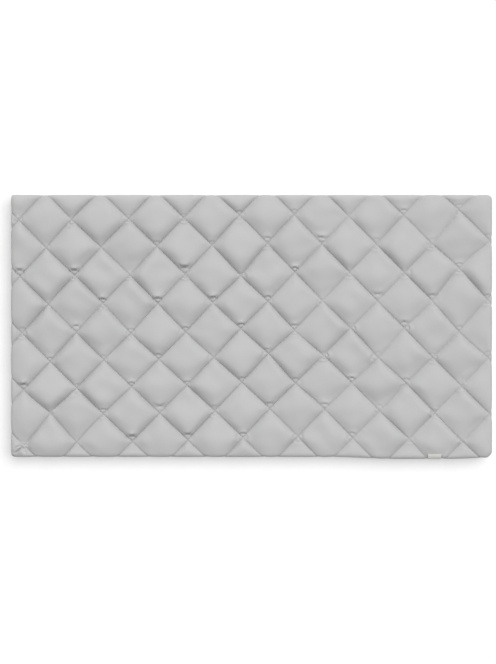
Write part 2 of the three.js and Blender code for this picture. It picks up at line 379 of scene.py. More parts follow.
def make_object(name: str, bm: bmesh.types.BMesh) -> bpy.types.Object:
    """Turns a bmesh into a smooth object at the origin, and frees the bmesh.

    Args:
        name: the name of the piece.
        bm: its shape, in metres.

    Returns:
        The new object.
    """
    mesh = bpy.data.meshes.new(name)
    bm.to_mesh(mesh)
    bm.free()
    return add_piece(name, mesh)


@dataclass(frozen=True)
class DiamondLattice:
    """The stitch lines on the flat cloth. u counts diamonds down to the right, and v up to the right."""

    along: float = 125.7 * MM
    across: float = 127.7 * MM
    row_tilt: float = math.radians(0.6)
    column_tilt: float = math.radians(1.07)
    first_x: float = -24.7 * MM
    first_y: float = -4.9 * MM

    @property
    def side(self) -> float:
        """Length of one side of a diamond."""
        return math.hypot(self.along, self.across) / 2

    def place(self, u: np.ndarray, v: np.ndarray) -> Tuple[np.ndarray, np.ndarray]:
        """Finds places of the lattice on the flat cloth.

        Args:
            u: how many diamonds down to the right.
            v: how many diamonds up to the right.

        Returns:
            x and y of each place, in metres.
        """
        columns = (u + v) / 2 * self.along
        rows = (v - u) / 2 * self.across
        x = self.first_x + columns * math.cos(self.row_tilt) - rows * math.sin(self.column_tilt)
        y = self.first_y + columns * math.sin(self.row_tilt) + rows * math.cos(self.column_tilt)
        even_x, even_y = x, y
        for drift in DRIFTS:
            away = (even_x - drift.x * MM) ** 2 + (even_y - drift.y * MM) ** 2
            fade = np.exp(-away / (2 * (drift.spread * MM) ** 2))
            x = x + drift.along * MM * fade
            y = y + drift.across * MM * fade
        return x, y


@dataclass(frozen=True)
class BedShape:
    """The stitched surface on the bed. Its front edge is kept straight until settle() bows it."""

    half_length: float = 550 * MM
    half_width: float = STRAIGHT_FRONT * MM
    stitch_top: float = 56.1 * MM
    shoulder: float = 8.3 * MM
    side_inset: float = 0.5 * MM
    foot: float = 7 * MM
    underside: float = 1.5 * MM
    tuck: float = 78 * MM
    opening_radius: float = 60 * MM
    opening_chords: int = 8
    corner_front_left: float = 7 * MM
    corner_front_right: float = 15 * MM
    corner_back_right: float = 9 * MM
    corner_back_left: float = 3.4 * MM
    bow_from: float = 80 * MM
    bow_to: float = 260 * MM

    @property
    def bend_x(self) -> float:
        """Where the cloth starts to turn down at the two ends."""
        return self.half_length - self.side_inset - self.shoulder

    @property
    def bend_y(self) -> float:
        """Where the cloth starts to turn down at the front and back."""
        return self.half_width - self.side_inset - self.shoulder

    @property
    def shoulder_run(self) -> float:
        """Cloth over the shoulder."""
        return self.shoulder * math.pi / 2

    @property
    def side_run(self) -> float:
        """Cloth down the straight of a side."""
        return self.stitch_top - self.shoulder - self.underside - self.foot

    @property
    def foot_run(self) -> float:
        """Cloth round the lower edge."""
        return self.foot * math.pi / 2

    @property
    def down_run(self) -> float:
        """Cloth from the start of the shoulder to the end of the lower rounding."""
        return self.shoulder_run + self.side_run + self.foot_run

    @property
    def full_run(self) -> float:
        """Cloth from the start of the shoulder to the hem."""
        return self.down_run + self.tuck - self.side_inset - self.foot

    @property
    def opening_x(self) -> float:
        """Half the length of the opening underneath."""
        return self.half_length - self.tuck

    @property
    def opening_y(self) -> float:
        """Half the width of the opening underneath."""
        return self.half_width - self.tuck

    def past_bend(self, x: np.ndarray, y: np.ndarray) -> np.ndarray:
        """Flat cloth past the lines where it starts to turn down, negative on the top."""
        return np.maximum(np.abs(x) - self.bend_x, np.abs(y) - self.bend_y)

    def one_in(self, thickness: float, hem_turn: float) -> "BedShape":
        """Gives the face of the cloth that lies on the mattress.

        Args:
            thickness: distance in from the stitched surface.
            hem_turn: how far short of the hem it stops.

        Returns:
            The shape of that face.
        """
        return replace(
            self,
            stitch_top=self.stitch_top - thickness,
            shoulder=self.shoulder - thickness,
            side_inset=self.side_inset + thickness,
            foot=self.foot - thickness,
            underside=self.underside + thickness,
            tuck=self.tuck - hem_turn,
            opening_radius=self.opening_radius + hem_turn,
            corner_front_left=self.corner_front_left - thickness,
            corner_front_right=self.corner_front_right - thickness,
            corner_back_right=self.corner_back_right - thickness,
            corner_back_left=self.corner_back_left - thickness,
        )

    def bow_share(self, y: np.ndarray) -> np.ndarray:
        """Share of the front edge's bow that is taken up at y."""
        return smooth_step(self.bow_from, self.bow_to, -y)

    def straighten(self, x: np.ndarray, y: np.ndarray) -> np.ndarray:
        """Gives y of the flat cloth with its front edge made straight."""
        return y - front_bow(x) * self.bow_share(y)

    def wrap(self, side: Side, x: np.ndarray, y: np.ndarray) -> Tuple[np.ndarray, np.ndarray]:
        """Folds flat cloth over one side of the bed.

        Args:
            side: which part of the cloth it is.
            x: places on the flat cloth.
            y: places on the flat cloth, straightened.

        Returns:
            The places in space and the outward directions there, with a row for each.
        """
        if side is Side.TOP:
            up = np.tile((0.0, 0.0, 1.0), (len(x), 1))
            return np.stack([x, y, np.full_like(x, self.stitch_top)], 1), up
        out_x, out_y = side.value
        run = out_x * x - self.bend_x if out_x else out_y * y - self.bend_y
        turned_down = np.clip(run, 0, self.shoulder_run) / self.shoulder
        down = np.clip(run - self.shoulder_run, 0, self.side_run)
        turned_under = np.clip(run - self.shoulder_run - self.side_run, 0, self.foot_run) / self.foot
        inward = np.clip(run - self.down_run, 0, None)
        inset = self.side_inset + self.shoulder * (1 - np.sin(turned_down))
        inset = inset + self.foot * (1 - np.cos(turned_under)) + inward
        z = self.stitch_top - self.shoulder * (1 - np.cos(turned_down)) - down
        z = z - self.foot * np.sin(turned_under)
        turned = turned_down + turned_under
        outward = np.sin(turned)
        if out_x:
            places = np.stack([out_x * (self.half_length - inset), y, z], 1)
            return places, np.stack([out_x * outward, np.zeros_like(x), np.cos(turned)], 1)
        places = np.stack([x, out_y * (self.half_width - inset), z], 1)
        return places, np.stack([np.zeros_like(x), out_y * outward, np.cos(turned)], 1)

    def mitre_gap(self, x: np.ndarray | float, y: np.ndarray | float) -> np.ndarray | float:
        """Signed distance from the mitre of the nearest corner, positive where the end sides lie."""
        return ((self.half_width - np.abs(y)) - (self.half_length - np.abs(x))) / math.sqrt(2)

    def opening_gap(self, x: np.ndarray, y: np.ndarray) -> np.ndarray:
        """Distance from the edge of the opening underneath, positive on the cloth."""
        over_x = np.abs(x) - (self.opening_x - self.opening_radius)
        over_y = np.abs(y) - (self.opening_y - self.opening_radius)
        outside = np.hypot(np.maximum(over_x, 0), np.maximum(over_y, 0))
        return outside + np.minimum(np.maximum(over_x, over_y), 0) - self.opening_radius

    def opening_lines(self) -> List[Tuple[float, float, float, float]]:
        """Chords of the opening in one quarter of the bed.

        Returns:
            For each chord a point on it and its outward direction, as x, y, out x, out y.
        """
        centre_x = self.opening_x - self.opening_radius
        centre_y = self.opening_y - self.opening_radius
        step = math.pi / 2 / self.opening_chords
        reach = self.opening_radius * math.cos(step / 2)
        lines = []
        for k in range(self.opening_chords):
            turn = (k + 0.5) * step
            out_x, out_y = math.cos(turn), math.sin(turn)
            lines.append((centre_x + reach * out_x, centre_y + reach * out_y, out_x, out_y))
        return lines

    def settle(self, places: np.ndarray, normals: np.ndarray) -> Tuple[np.ndarray, np.ndarray]:
        """Rounds the upright corners and bows the front edge.

        Args:
            places: places on the straightened bed, with a row for each.
            normals: the outward directions there.

        Returns:
            The places on the real bed, and the outward directions.
        """
        settled, turned = places.copy(), normals.copy()
        corners = (
            (-1, -1, self.corner_front_left),
            (1, -1, self.corner_front_right),
            (1, 1, self.corner_back_right),
            (-1, 1, self.corner_back_left),
        )
        for way_x, way_y, radius in corners:
            start_x = self.half_length - self.side_inset - radius
            start_y = self.half_width - self.side_inset - radius
            over_x = (way_x * places[:, 0] - start_x) / radius
            over_y = (way_y * places[:, 1] - start_y) / radius
            inside = (over_x > 0) & (over_y > 0)
            reach = np.maximum(over_x, over_y)
            lesser = np.minimum(over_x, over_y)
            turn = math.pi / 4 * lesser / np.where(inside, reach, 1)
            near = reach * np.cos(turn)
            far = reach * np.sin(turn)
            wide = over_x >= over_y
            settled[inside, 0] = (way_x * (start_x + radius * np.where(wide, near, far)))[inside]
            settled[inside, 1] = (way_y * (start_y + radius * np.where(wide, far, near)))[inside]
            flat = np.hypot(normals[:, 0], normals[:, 1])
            turned[inside, 0] = (way_x * flat * np.where(wide, np.cos(turn), np.sin(turn)))[inside]
            turned[inside, 1] = (way_y * flat * np.where(wide, np.sin(turn), np.cos(turn)))[inside]
        settled[:, 1] += front_bow(settled[:, 0]) * self.bow_share(settled[:, 1])
        return settled, turned


@dataclass(frozen=True)
class LabelPlace:
    """Where the bare label is sewn over the front shoulder, and its flat size."""

    x: float = 418 * MM
    width: float = 31 * MM
    length: float = 20 * MM
    inboard: float = 3 * MM


@dataclass(frozen=True)
class QuiltRelief:
    """How the filling lifts the cloth between its stitch lines, and how it has tucked at the crossings."""

    lattice: DiamondLattice
    bed: BedShape
    label: LabelPlace

    # The filling: how high it stands, and how quickly it rises from a stitch line. Of what stands above
    # full_height, only the share over_full is kept.
    side_loft: float = 0.9 * MM
    under_loft: float = 0.9 * MM
    fullness: float = 3.2
    fullness_spread: Tuple[float, float] = (0.74, 1.34)
    back_fullness: float = 4.8
    tight_fullness: float = 9
    tight_run: Tuple[float, float] = (-10 * MM, 12 * MM)
    tight_evenness: float = 0.8
    full_height: float = 17 * MM
    over_full: float = 0.4

    # Its unevenness, from one diamond to the next and within each.
    fill_spread: Tuple[float, float] = (0.76, 1.1)
    tilt: float = 0.8
    left_fill: float = 0.07
    left_fill_x: float = 400 * MM
    dents: float = 0.42
    dent_scale: float = 26
    ripples: float = 0.17
    ripple_scale: float = 62

    # The stitch lines, and how much looser they lie on the right.
    groove: float = 1.35 * MM
    groove_width: float = 1.3 * MM
    side_groove: float = 0.2
    loose_x: Tuple[float, float] = (40 * MM, 280 * MM)
    loose_share: float = 0.3
    loose_widening: float = 1.2
    loose_shallowing: float = 0.5
    lowest: float = -1.6 * MM

    # The tucks beside the crossings. The seeded depths are in the order of Pull. A tuck's edge and its
    # hump are given as shares of its own size.
    seeded_depths: Tuple[float, ...] = (0.35, 0.6, 0.35, 0.75)
    tuck_edge: Tuple[float, float] = (0.8, 1.15)
    arch_bend: float = 0.5
    wall: float = 2.7 * MM
    crease: float = 1.1 * MM
    hump: float = 2.8 * MM
    hump_ahead: float = 0.55
    hump_length: float = 0.3
    hump_width: float = 0.24
    lift: float = 4.4 * MM
    lift_reach: float = 6 * MM
    south_reach: float = 0.55

    # The small folds beside the crossings, and those bunched at the front left corner.
    fold_scale: float = 150
    wrinkle: float = 1.1 * MM
    wrinkle_reach: float = 8 * MM
    crumple: float = 6.5 * MM
    crumple_reach: float = 15 * MM
    crumple_x: float = -529 * MM
    crumple_y: float = -287 * MM

    # How the relief fades: down the sides, at the mitres and at the hem.
    top_run: Tuple[float, float] = (-6 * MM, 10 * MM)
    side_share: float = 0.1
    corner_share: float = 0.7
    corner_width: float = 7 * MM
    hem_width: float = 12 * MM
    hem_ease: float = 6 * MM
    hem_edge: float = 3 * MM
    hem_rise: float = 0.6 * MM

    # The room for the label, and the way, depth and width of the dip at each sewn end.
    label_room: float = 2.2 * MM
    label_lower_room: float = -0.4 * MM
    label_margin: float = 4 * MM
    label_start: Tuple[float, float] = (-9.5 * MM, -5 * MM)
    label_stop: Tuple[float, float] = (18 * MM, 26 * MM)
    sewn_dips: Tuple[Tuple[int, float, float], ...] = ((-1, 5 * MM, 2.6 * MM), (1, 2.4 * MM, 1.3 * MM))

    crossings: int = 12
    seed: int = 7

    def loft(self, run: np.ndarray) -> np.ndarray:
        """Height of a full diamond at each distance past the start of the shoulder."""
        bed = self.bed
        turns = [turn * MM for turn, _ in LOFT_ROWS]
        lofts = [loft * MM for _, loft in LOFT_ROWS]
        turns += [bed.shoulder_run, bed.shoulder_run + bed.side_run, bed.down_run]
        lofts += [self.side_loft, self.side_loft, self.under_loft]
        return np.interp(run, turns, lofts)

    def evenly(self, u: np.ndarray, v: np.ndarray, low: float, high: float) -> np.ndarray:
        """Gives every place of a diamond the same seeded number between low and high."""
        count = 2 * self.crossings
        table = np.random.default_rng(self.seed + 2).uniform(low, high, (count, count))
        at_u = np.clip(np.floor(u).astype(int) + self.crossings, 0, count - 1)
        at_v = np.clip(np.floor(v).astype(int) + self.crossings, 0, count - 1)
        return table[at_u, at_v]

    def rise(self, share: np.ndarray, low_end: float, high_end: float, tightness: np.ndarray) -> np.ndarray:
        """Section of a diamond between two stitch lines.

        Args:
            share: place from one line, 0, to the next, 1.
            low_end: how quickly the filling rises from the first line.
            high_end: how quickly it rises from the second.
            tightness: 0 where the cloth lies loose and 1 where it is stretched.

        Returns:
            The share of the loft at each place.
        """
        first = share < 0.5
        away = np.clip(np.where(first, share, 1 - share) * 2, 0, 1)
        fullness = np.where(first, low_end, high_end) * (1 - tightness) + self.tight_fullness * tightness
        return 1 - (1 - away) ** fullness

    def tuck_tables(self) -> Dict[str, np.ndarray]:
        """Sizes of the tucks at every crossing: slight and seeded ones, and those of the table.

        Returns:
            Arrays over crossing i, crossing j and pull, for out, width, depth and turn.
        """
        chance = np.random.default_rng(self.seed)
        count = 2 * self.crossings + 1
        shape = (count, count, 4)
        strength = np.array(self.seeded_depths)
        tables = {
            "out": chance.uniform(9, 16, shape) * MM,
            "width": chance.uniform(18, 27, shape) * MM,
            "depth": strength * chance.uniform(0, 1, shape) ** 1.5,
            "turn": np.radians(chance.uniform(-16, 20, shape)),
        }
        # The seeded tucks of a crossing are slighter for each row that it has in the table.
        for tuck in TUCKS:
            tables["depth"][tuck.i + self.crossings, tuck.j + self.crossings] *= 0.5
        for tuck in TUCKS:
            at = (tuck.i + self.crossings, tuck.j + self.crossings, tuck.pull.value)
            tables["out"][at] = tuck.out * MM
            tables["width"][at] = tuck.width * MM
            tables["depth"][at] = tuck.depth
            tables["turn"][at] = math.radians(tuck.turn)
        return tables

    def tucked(self, u: np.ndarray, v: np.ndarray, height: np.ndarray, share: np.ndarray) -> np.ndarray:
        """Cuts the diamonds' corners short where the cloth has tucked.

        Args:
            u: place on the lattice, down to the right.
            v: place on the lattice, up to the right.
            height: the cloth's height above its stitch lines.
            share: how much of a tuck shows there.

        Returns:
            The height with its tucks.
        """
        near_u, near_v = np.rint(u).astype(int), np.rint(v).astype(int)
        east = ((u - near_u) + (v - near_v)) / 2 * self.lattice.along
        north = ((v - near_v) - (u - near_u)) / 2 * self.lattice.across
        tables = self.tuck_tables()
        at_i = np.clip(near_u + self.crossings, 0, 2 * self.crossings)
        at_j = np.clip(near_v + self.crossings, 0, 2 * self.crossings)
        tucked = height.copy()
        for pull in Pull:
            at = (at_i, at_j, pull.value)
            out, width, depth, turn = (tables[key][at] for key in ("out", "width", "depth", "turn"))
            heading = math.pi / 2 * pull.value
            ahead_flat = east * math.cos(heading) + north * math.sin(heading)
            aside_flat = -east * math.sin(heading) + north * math.cos(heading)
            ahead = ahead_flat * np.cos(turn) + aside_flat * np.sin(turn)
            aside = -ahead_flat * np.sin(turn) + aside_flat * np.cos(turn)
            arch = out * (1 - self.arch_bend * (2 * aside / width) ** 2)
            within = smooth_step(-1, 1, (arch - ahead) / (self.wall / 2))
            edge = 1 - smooth_step(*self.tuck_edge, np.abs(2 * aside / width))
            facing = smooth_step(-0.05, 0.2, (ahead_flat - np.abs(aside_flat)) / out + 0.05)
            show = depth * edge * facing * share
            reach = self.lift_reach * (self.south_reach if pull is Pull.SOUTH else 1)
            past = np.clip(ahead - arch, 0, None) / reach
            tucked = tucked * (1 - np.clip(show, 0, 1) * within)
            tucked = tucked + self.lift * show * (1 - within) * np.exp(-past * past)
            from_crease = (ahead - arch + self.wall / 2) / self.wall
            tucked = tucked - self.crease * show * np.exp(-(from_crease**2))
            bump = ((ahead - self.hump_ahead * out) / (self.hump_length * out)) ** 2
            bump = bump + (aside / (self.hump_width * width)) ** 2
            tucked = tucked + self.hump * show * np.exp(-bump) * within
        return tucked

    def pitted(self, u: np.ndarray, v: np.ndarray) -> np.ndarray:
        """How far the small dips beside the crossings press the cloth in at each place of the lattice."""
        pressed = np.zeros_like(u)
        for pit in PITS:
            east = ((u - pit.i) + (v - pit.j)) / 2 * self.lattice.along - pit.x * MM
            north = ((v - pit.j) - (u - pit.i)) / 2 * self.lattice.across - pit.y * MM
            pressed = pressed + pit.depth * MM * np.exp(-(east**2 + north**2) / (pit.radius * MM) ** 2)
        return pressed

    def unevenness(self, x: np.ndarray, y: np.ndarray, u: np.ndarray, v: np.ndarray) -> np.ndarray:
        """How full the filling lies: a little more or less in each diamond, with soft dents.

        Args:
            x: places on the flat cloth.
            y: places on the flat cloth.
            u: place on the lattice.
            v: place on the lattice.

        Returns:
            The share of the even height at each place.
        """
        chance = np.random.default_rng(self.seed + 1)
        count = 2 * self.crossings + 2
        fill = chance.uniform(*self.fill_spread, (count, count))
        tilt_u, tilt_v = self.tilt * chance.uniform(-1, 1, (2, count, count))
        for lean in LEANS:
            at = (lean.i + self.crossings, lean.j + self.crossings)
            tilt_u[at], tilt_v[at] = -lean.back / 2, lean.back / 2
        cell_u = np.clip(np.floor(u).astype(int) + self.crossings, 0, count - 1)
        cell_v = np.clip(np.floor(v).astype(int) + self.crossings, 0, count - 1)
        dents = soft_noise(x, y, self.dent_scale, NoiseLayer.DENTS)
        ripples = soft_noise(x, y, self.ripple_scale, NoiseLayer.RIPPLES)
        to_right = smooth_step(-self.left_fill_x, self.left_fill_x, x)
        full = fill[cell_u, cell_v] + self.left_fill * (1 - 2 * to_right)
        full = full + tilt_u[cell_u, cell_v] * (u - np.floor(u) - 0.5)
        full = full + tilt_v[cell_u, cell_v] * (v - np.floor(v) - 0.5)
        return full + self.dents * dents + self.ripples * ripples

    def wrinkled(self, x: np.ndarray, y: np.ndarray, u: np.ndarray, v: np.ndarray) -> np.ndarray:
        """Small folds where the stitch lines cross and where the cloth is bunched at the front left corner.

        Args:
            x: places on the flat cloth.
            y: places on the flat cloth.
            u: place on the lattice.
            v: place on the lattice.

        Returns:
            The height that they add, in metres.
        """
        folds = soft_noise(x, y, self.fold_scale, NoiseLayer.FOLDS)
        beside = (u - np.rint(u)) ** 2 + (v - np.rint(v)) ** 2
        beside = beside * (self.lattice.side / self.wrinkle_reach) ** 2
        bunched = ((x - self.crumple_x) ** 2 + (y - self.crumple_y) ** 2) / self.crumple_reach**2
        return folds * (self.wrinkle * np.exp(-beside / 2) + self.crumple * np.exp(-bunched / 2))

    def height(self, lattice_uv: np.ndarray, flat: np.ndarray, places: np.ndarray) -> np.ndarray:
        """Height of the cloth above the stitched surface.

        Args:
            lattice_uv: place on the lattice, with a row for each vertex.
            flat: place on the straightened flat cloth.
            places: place on the straightened bed.

        Returns:
            The height at each vertex, in metres.
        """
        u, v = lattice_uv[:, 0], lattice_uv[:, 1]
        run = self.bed.past_bend(flat[:, 0], flat[:, 1])
        away_u = np.abs(u - np.rint(u)) * self.lattice.side
        away_v = np.abs(v - np.rint(v)) * self.lattice.side
        loft = self.loft(run)
        tight = smooth_step(*self.tight_run, run)
        full = self.fullness * self.evenly(u, v, *self.fullness_spread)
        loose = smooth_step(*self.loose_x, flat[:, 0])
        full_u = full * (1 - self.loose_share * loose)
        section_u = self.rise(u - np.floor(u), full_u, full_u, tight)
        section_v = self.rise(v - np.floor(v), full, self.back_fullness, tight)
        uneven = self.unevenness(flat[:, 0], flat[:, 1], u, v) - 1
        uneven = 1 + uneven * (1 - self.tight_evenness * tight)
        top_share = (1 - smooth_step(*self.top_run, run)) * (1 - self.side_share) + self.side_share
        height = self.tucked(u, v, loft * section_u * section_v * uneven, top_share)
        moved = (self.wrinkled(flat[:, 0], flat[:, 1], u, v) - self.pitted(u, v)) * top_share
        height = np.maximum(height + moved, self.lowest + self.groove)
        over = np.clip(height - self.full_height, 0, None)
        height = np.minimum(height, self.full_height) + self.over_full * over
        corner = np.where(run > 0, np.abs(self.bed.mitre_gap(places[:, 0], places[:, 1])), np.inf)
        plain = smooth_step(0, self.corner_width, corner)
        height = height * plain + self.corner_share * loft * (1 - plain)
        width_u = self.groove_width * (1 + self.loose_widening * loose)
        line_u = np.exp(-((away_u / width_u) ** 2)) * (1 - self.loose_shallowing * loose)
        line = np.maximum(line_u, np.exp(-((np.minimum(away_v, corner) / self.groove_width) ** 2)))
        groove_share = self.side_groove + (1 - self.side_groove) * top_share
        height = height - self.groove * line * groove_share
        hem = np.where(run > self.bed.down_run, self.bed.opening_gap(places[:, 0], places[:, 1]), np.inf)
        hemmed = smooth_step(self.hem_width, self.hem_width + self.hem_ease, hem)
        height = height * hemmed + self.hem_rise * (1 - hemmed) * smooth_step(0, self.hem_edge, hem)
        return self.flattened_under_label(height, flat)

    def label_ends(self, flat: np.ndarray) -> np.ndarray:
        """How far the cloth is drawn in beside the two sewn ends of the label, at each place."""
        drawn_in = np.zeros(len(flat))
        over = self.along_label(flat)
        for way, depth, width in self.sewn_dips:
            end = (flat[:, 0] - self.label.x) * way - self.label.width / 2 - 0.9 * width
            drawn_in = drawn_in + depth * over * np.exp(-((end / width) ** 2))
        return drawn_in

    def along_label(self, flat: np.ndarray) -> np.ndarray:
        """Share of the label's way over the front shoulder: 1 beside it, and 0 behind and below it."""
        run = -flat[:, 1] - self.bed.bend_y
        return smooth_step(*self.label_start, run) * (1 - smooth_step(*self.label_stop, run))

    def flattened_under_label(self, height: np.ndarray, flat: np.ndarray) -> np.ndarray:
        """Presses the cloth down where the label is sewn over the front shoulder.

        Args:
            height: the cloth's height.
            flat: place on the straightened flat cloth.

        Returns:
            The height with room for the label.
        """
        half = self.label.width / 2
        beside = 1 - smooth_step(half, half + self.label_margin, np.abs(flat[:, 0] - self.label.x))
        pressed = beside * self.along_label(flat)
        run = -flat[:, 1] - self.bed.bend_y
        rooms = (self.label_room, self.label_lower_room)
        room = np.interp(run, (-self.label.inboard, self.bed.shoulder_run), rooms)
        height = height * (1 - pressed) + np.minimum(height, room) * pressed
        return np.maximum(height - self.label_ends(flat), np.minimum(height, self.lowest))


@dataclass(frozen=True)
class QuiltedSheet:
    """The fitted sheet: one quilted cloth over the mattress, mitred at its corners, gathered at its hem."""

    lattice: DiamondLattice
    bed: BedShape
    relief: QuiltRelief
    cells: int = 18
    seam_steps: Tuple[float, ...] = (0, 0.8, 2.0, 3.6, 5.4, 7.3, 9.2, 11.1, 13.2, 16.6, 22.5, 32)
    lining_steps: Tuple[float, ...] = (0,)
    hem_turn: float = 8 * MM
    shoulder_cuts: int = 5
    foot_cuts: int = 3
    thickness: float = 2 * MM
    weld: float = 0.01 * MM
    seam_slit: float = 0.15 * MM
    gather_pitch: float = 13 * MM
    gather_depth: float = 1.3 * MM
    gather_fade: float = 9 * MM

    # Cloth left on until it is trimmed: round the outside, beside the mitres and past the hem.
    edge_spare: float = 55 * MM
    mitre_spare: float = 60 * MM
    hem_spare: float = 26 * MM
    # How far past its round corners the opening's cuts reach.
    opening_spare: float = 50 * MM

    def flat_area(self) -> float:
        """Area of the cloth before it is fitted.

        Returns:
            The top, the four flaps mitred at the corners, and the opening's round corners, in square metres.
        """
        bed = self.bed
        under = bed.full_run - bed.down_run
        area = 4 * bed.bend_x * bed.bend_y + (4 - math.pi) * bed.opening_radius**2
        for bend in (bed.bend_x, bed.bend_y):
            outer = bend + bed.shoulder
            inner = outer - bed.foot
            over_shoulder = bend * bed.shoulder_run + bed.shoulder**2
            down_side = outer * bed.side_run
            round_foot = inner * bed.foot_run + bed.foot**2
            tucked_under = inner * under - under**2 / 2
            area += 4 * (over_shoulder + down_side + round_foot + tucked_under)
        return area

    def flat_cloth(self, bed: BedShape, seam_steps: Tuple[float, ...]) -> bmesh.types.BMesh:
        """Makes the flat cloth as a grid that follows the stitch lines.

        Args:
            bed: the surface that the cloth will lie on.
            seam_steps: distances of the grid's lines from the stitch lines, in mm.

        Returns:
            The grid, cut along the lines where the cloth starts to turn down.
        """
        shares = [step * MM / self.lattice.side for step in seam_steps]
        steps = np.array(shares + [0.5] + [1 - share for share in reversed(shares[1:])] + [1.0])
        per_cell = len(steps) - 1
        segments = self.cells * per_cell
        bm = bmesh.new()
        layers = {name: bm.verts.layers.float_vector.new(name) for name in ("lattice", "flat", "outward")}
        bmesh.ops.create_grid(bm, x_segments=segments, y_segments=segments, size=1)
        index = np.rint((read_vertices(bm)[:, :2] + 1) / 2 * segments).astype(int)
        lattice_uv = index // per_cell + steps[index % per_cell] - self.cells / 2
        x, y = self.lattice.place(lattice_uv[:, 0], lattice_uv[:, 1])
        y = bed.straighten(x, y)
        spare = bed.full_run + self.edge_spare
        outside = (np.abs(x) > bed.bend_x + spare) | (np.abs(y) > bed.bend_y + spare)
        for vertex, (a, b), (u, v) in zip(bm.verts, np.stack([x, y], 1).tolist(), lattice_uv.tolist()):
            vertex.co = (a, b, 0)
            vertex[layers["lattice"]] = (u, v, 0)
            vertex[layers["flat"]] = (a, b, 0)
        dropped = [vertex for vertex, out in zip(bm.verts, outside) if out]
        bmesh.ops.delete(bm, geom=dropped, context="VERTS")
        bmesh.ops.delete(bm, geom=[edge for edge in bm.edges if not edge.link_faces], context="EDGES")
        bmesh.ops.delete(bm, geom=[vertex for vertex in bm.verts if not vertex.link_faces], context="VERTS")
        for way in (-1, 1):
            cut(bm, whole(bm), (way * bed.bend_x, 0, 0), (1, 0, 0))
            cut(bm, whole(bm), (0, way * bed.bend_y, 0), (0, 1, 0))
        return bm

    def wrapped_part(self, flat: bmesh.types.BMesh, bed: BedShape, side: Side) -> bmesh.types.BMesh:
        """Takes one part of the cloth, trims it and folds it to its place.

        Args:
            flat: the whole flat cloth.
            bed: the surface that it lies on.
            side: which part is taken.

        Returns:
            The part on the straightened bed.
        """
        part = flat.copy()
        out_x, out_y = side.value
        middles = np.array([f.calc_center_median()[:2] for f in part.faces])
        over_x = np.abs(middles[:, 0]) - bed.bend_x
        over_y = np.abs(middles[:, 1]) - bed.bend_y
        if side is Side.TOP:
            dropped = (over_x > 0) | (over_y > 0)
        else:
            run = out_x * middles[:, 0] - bed.bend_x if out_x else out_y * middles[:, 1] - bed.bend_y
            dropped = (run < 0) | ((over_y if out_x else over_x) > self.mitre_spare)
        outside = [face for face, out in zip(part.faces, dropped) if out]
        bmesh.ops.delete(part, geom=outside, context="FACES")
        if side is not Side.TOP:
            self.cut_bends(part, bed, side)
        places = read_vertices(part)
        wrapped, outward = bed.wrap(side, places[:, 0], places[:, 1])
        write_vertices(part, wrapped)
        layer = part.verts.layers.float_vector["outward"]
        for vertex, way in zip(part.verts, outward.tolist()):
            vertex[layer] = way
        if side is not Side.TOP:
            self.mitre(part, bed, side)
            self.cut_opening(part, bed, side)
        return part

    def cut_bends(self, part: bmesh.types.BMesh, bed: BedShape, side: Side) -> None:
        """Cuts a flat part across where it bends, so that its roundings come out round.

        Args:
            part: the flat part.
            bed: the surface that it lies on.
            side: which part it is.
        """
        out_x, out_y = side.value
        bend = bed.bend_x if out_x else bed.bend_y
        foot_start = bed.shoulder_run + bed.side_run
        runs = [bed.shoulder_run * k / self.shoulder_cuts for k in range(1, self.shoulder_cuts + 1)]
        runs += [foot_start + bed.foot_run * k / self.foot_cuts for k in range(self.foot_cuts + 1)]
        for run in runs:
            cut(part, whole(part), (out_x * (bend + run), out_y * (bend + run), 0), (out_x, out_y, 0))
        last = bend + bed.full_run + self.hem_spare
        cut(part, whole(part), (out_x * last, out_y * last, 0), (out_x, out_y, 0), clear_outer=True)

    def mitre(self, part: bmesh.types.BMesh, bed: BedShape, side: Side) -> None:
        """Trims a folded part at both its corners, and draws the cut edges a thread's width back.

        Args:
            part: the folded part.
            bed: the surface that it lies on.
            side: which part it is.
        """
        out = Vector((*side.value, 0))
        for way in (-1, 1):
            beside = Vector((-out.y, out.x, 0)) * way
            corner = Vector(((out.x + beside.x) * bed.half_length, (out.y + beside.y) * bed.half_width, 0))
            away = (beside - out).normalized()
            cut(part, whole(part), corner, away, clear_outer=True)
            for vertex in part.verts:
                on_cut = abs((vertex.co - corner).dot(away)) < 1e-6
                if on_cut and vertex.co.z < bed.stitch_top - 1e-6:
                    vertex.co -= away * self.seam_slit

    def underneath(self, part: bmesh.types.BMesh, bed: BedShape, by_corners: bool) -> list:
        """Lists what lies underneath.

        Args:
            part: the folded part.
            bed: the surface that it lies on.
            by_corners: whether only what lies by the opening's round corners is taken.

        Returns:
            Vertices, edges and faces.
        """
        faces = [f for f in part.faces if all(v.co.z < bed.underside + self.weld for v in f.verts)]
        if by_corners:
            reach_x = bed.opening_x - bed.opening_radius - self.opening_spare
            reach_y = bed.opening_y - bed.opening_radius - self.opening_spare
            middles = [(f, f.calc_center_median()) for f in faces]
            faces = [f for f, m in middles if abs(m.x) > reach_x and abs(m.y) > reach_y]
        edges = {e for f in faces for e in f.edges}
        verts = {v for f in faces for v in f.verts}
        return list(verts) + list(edges) + faces

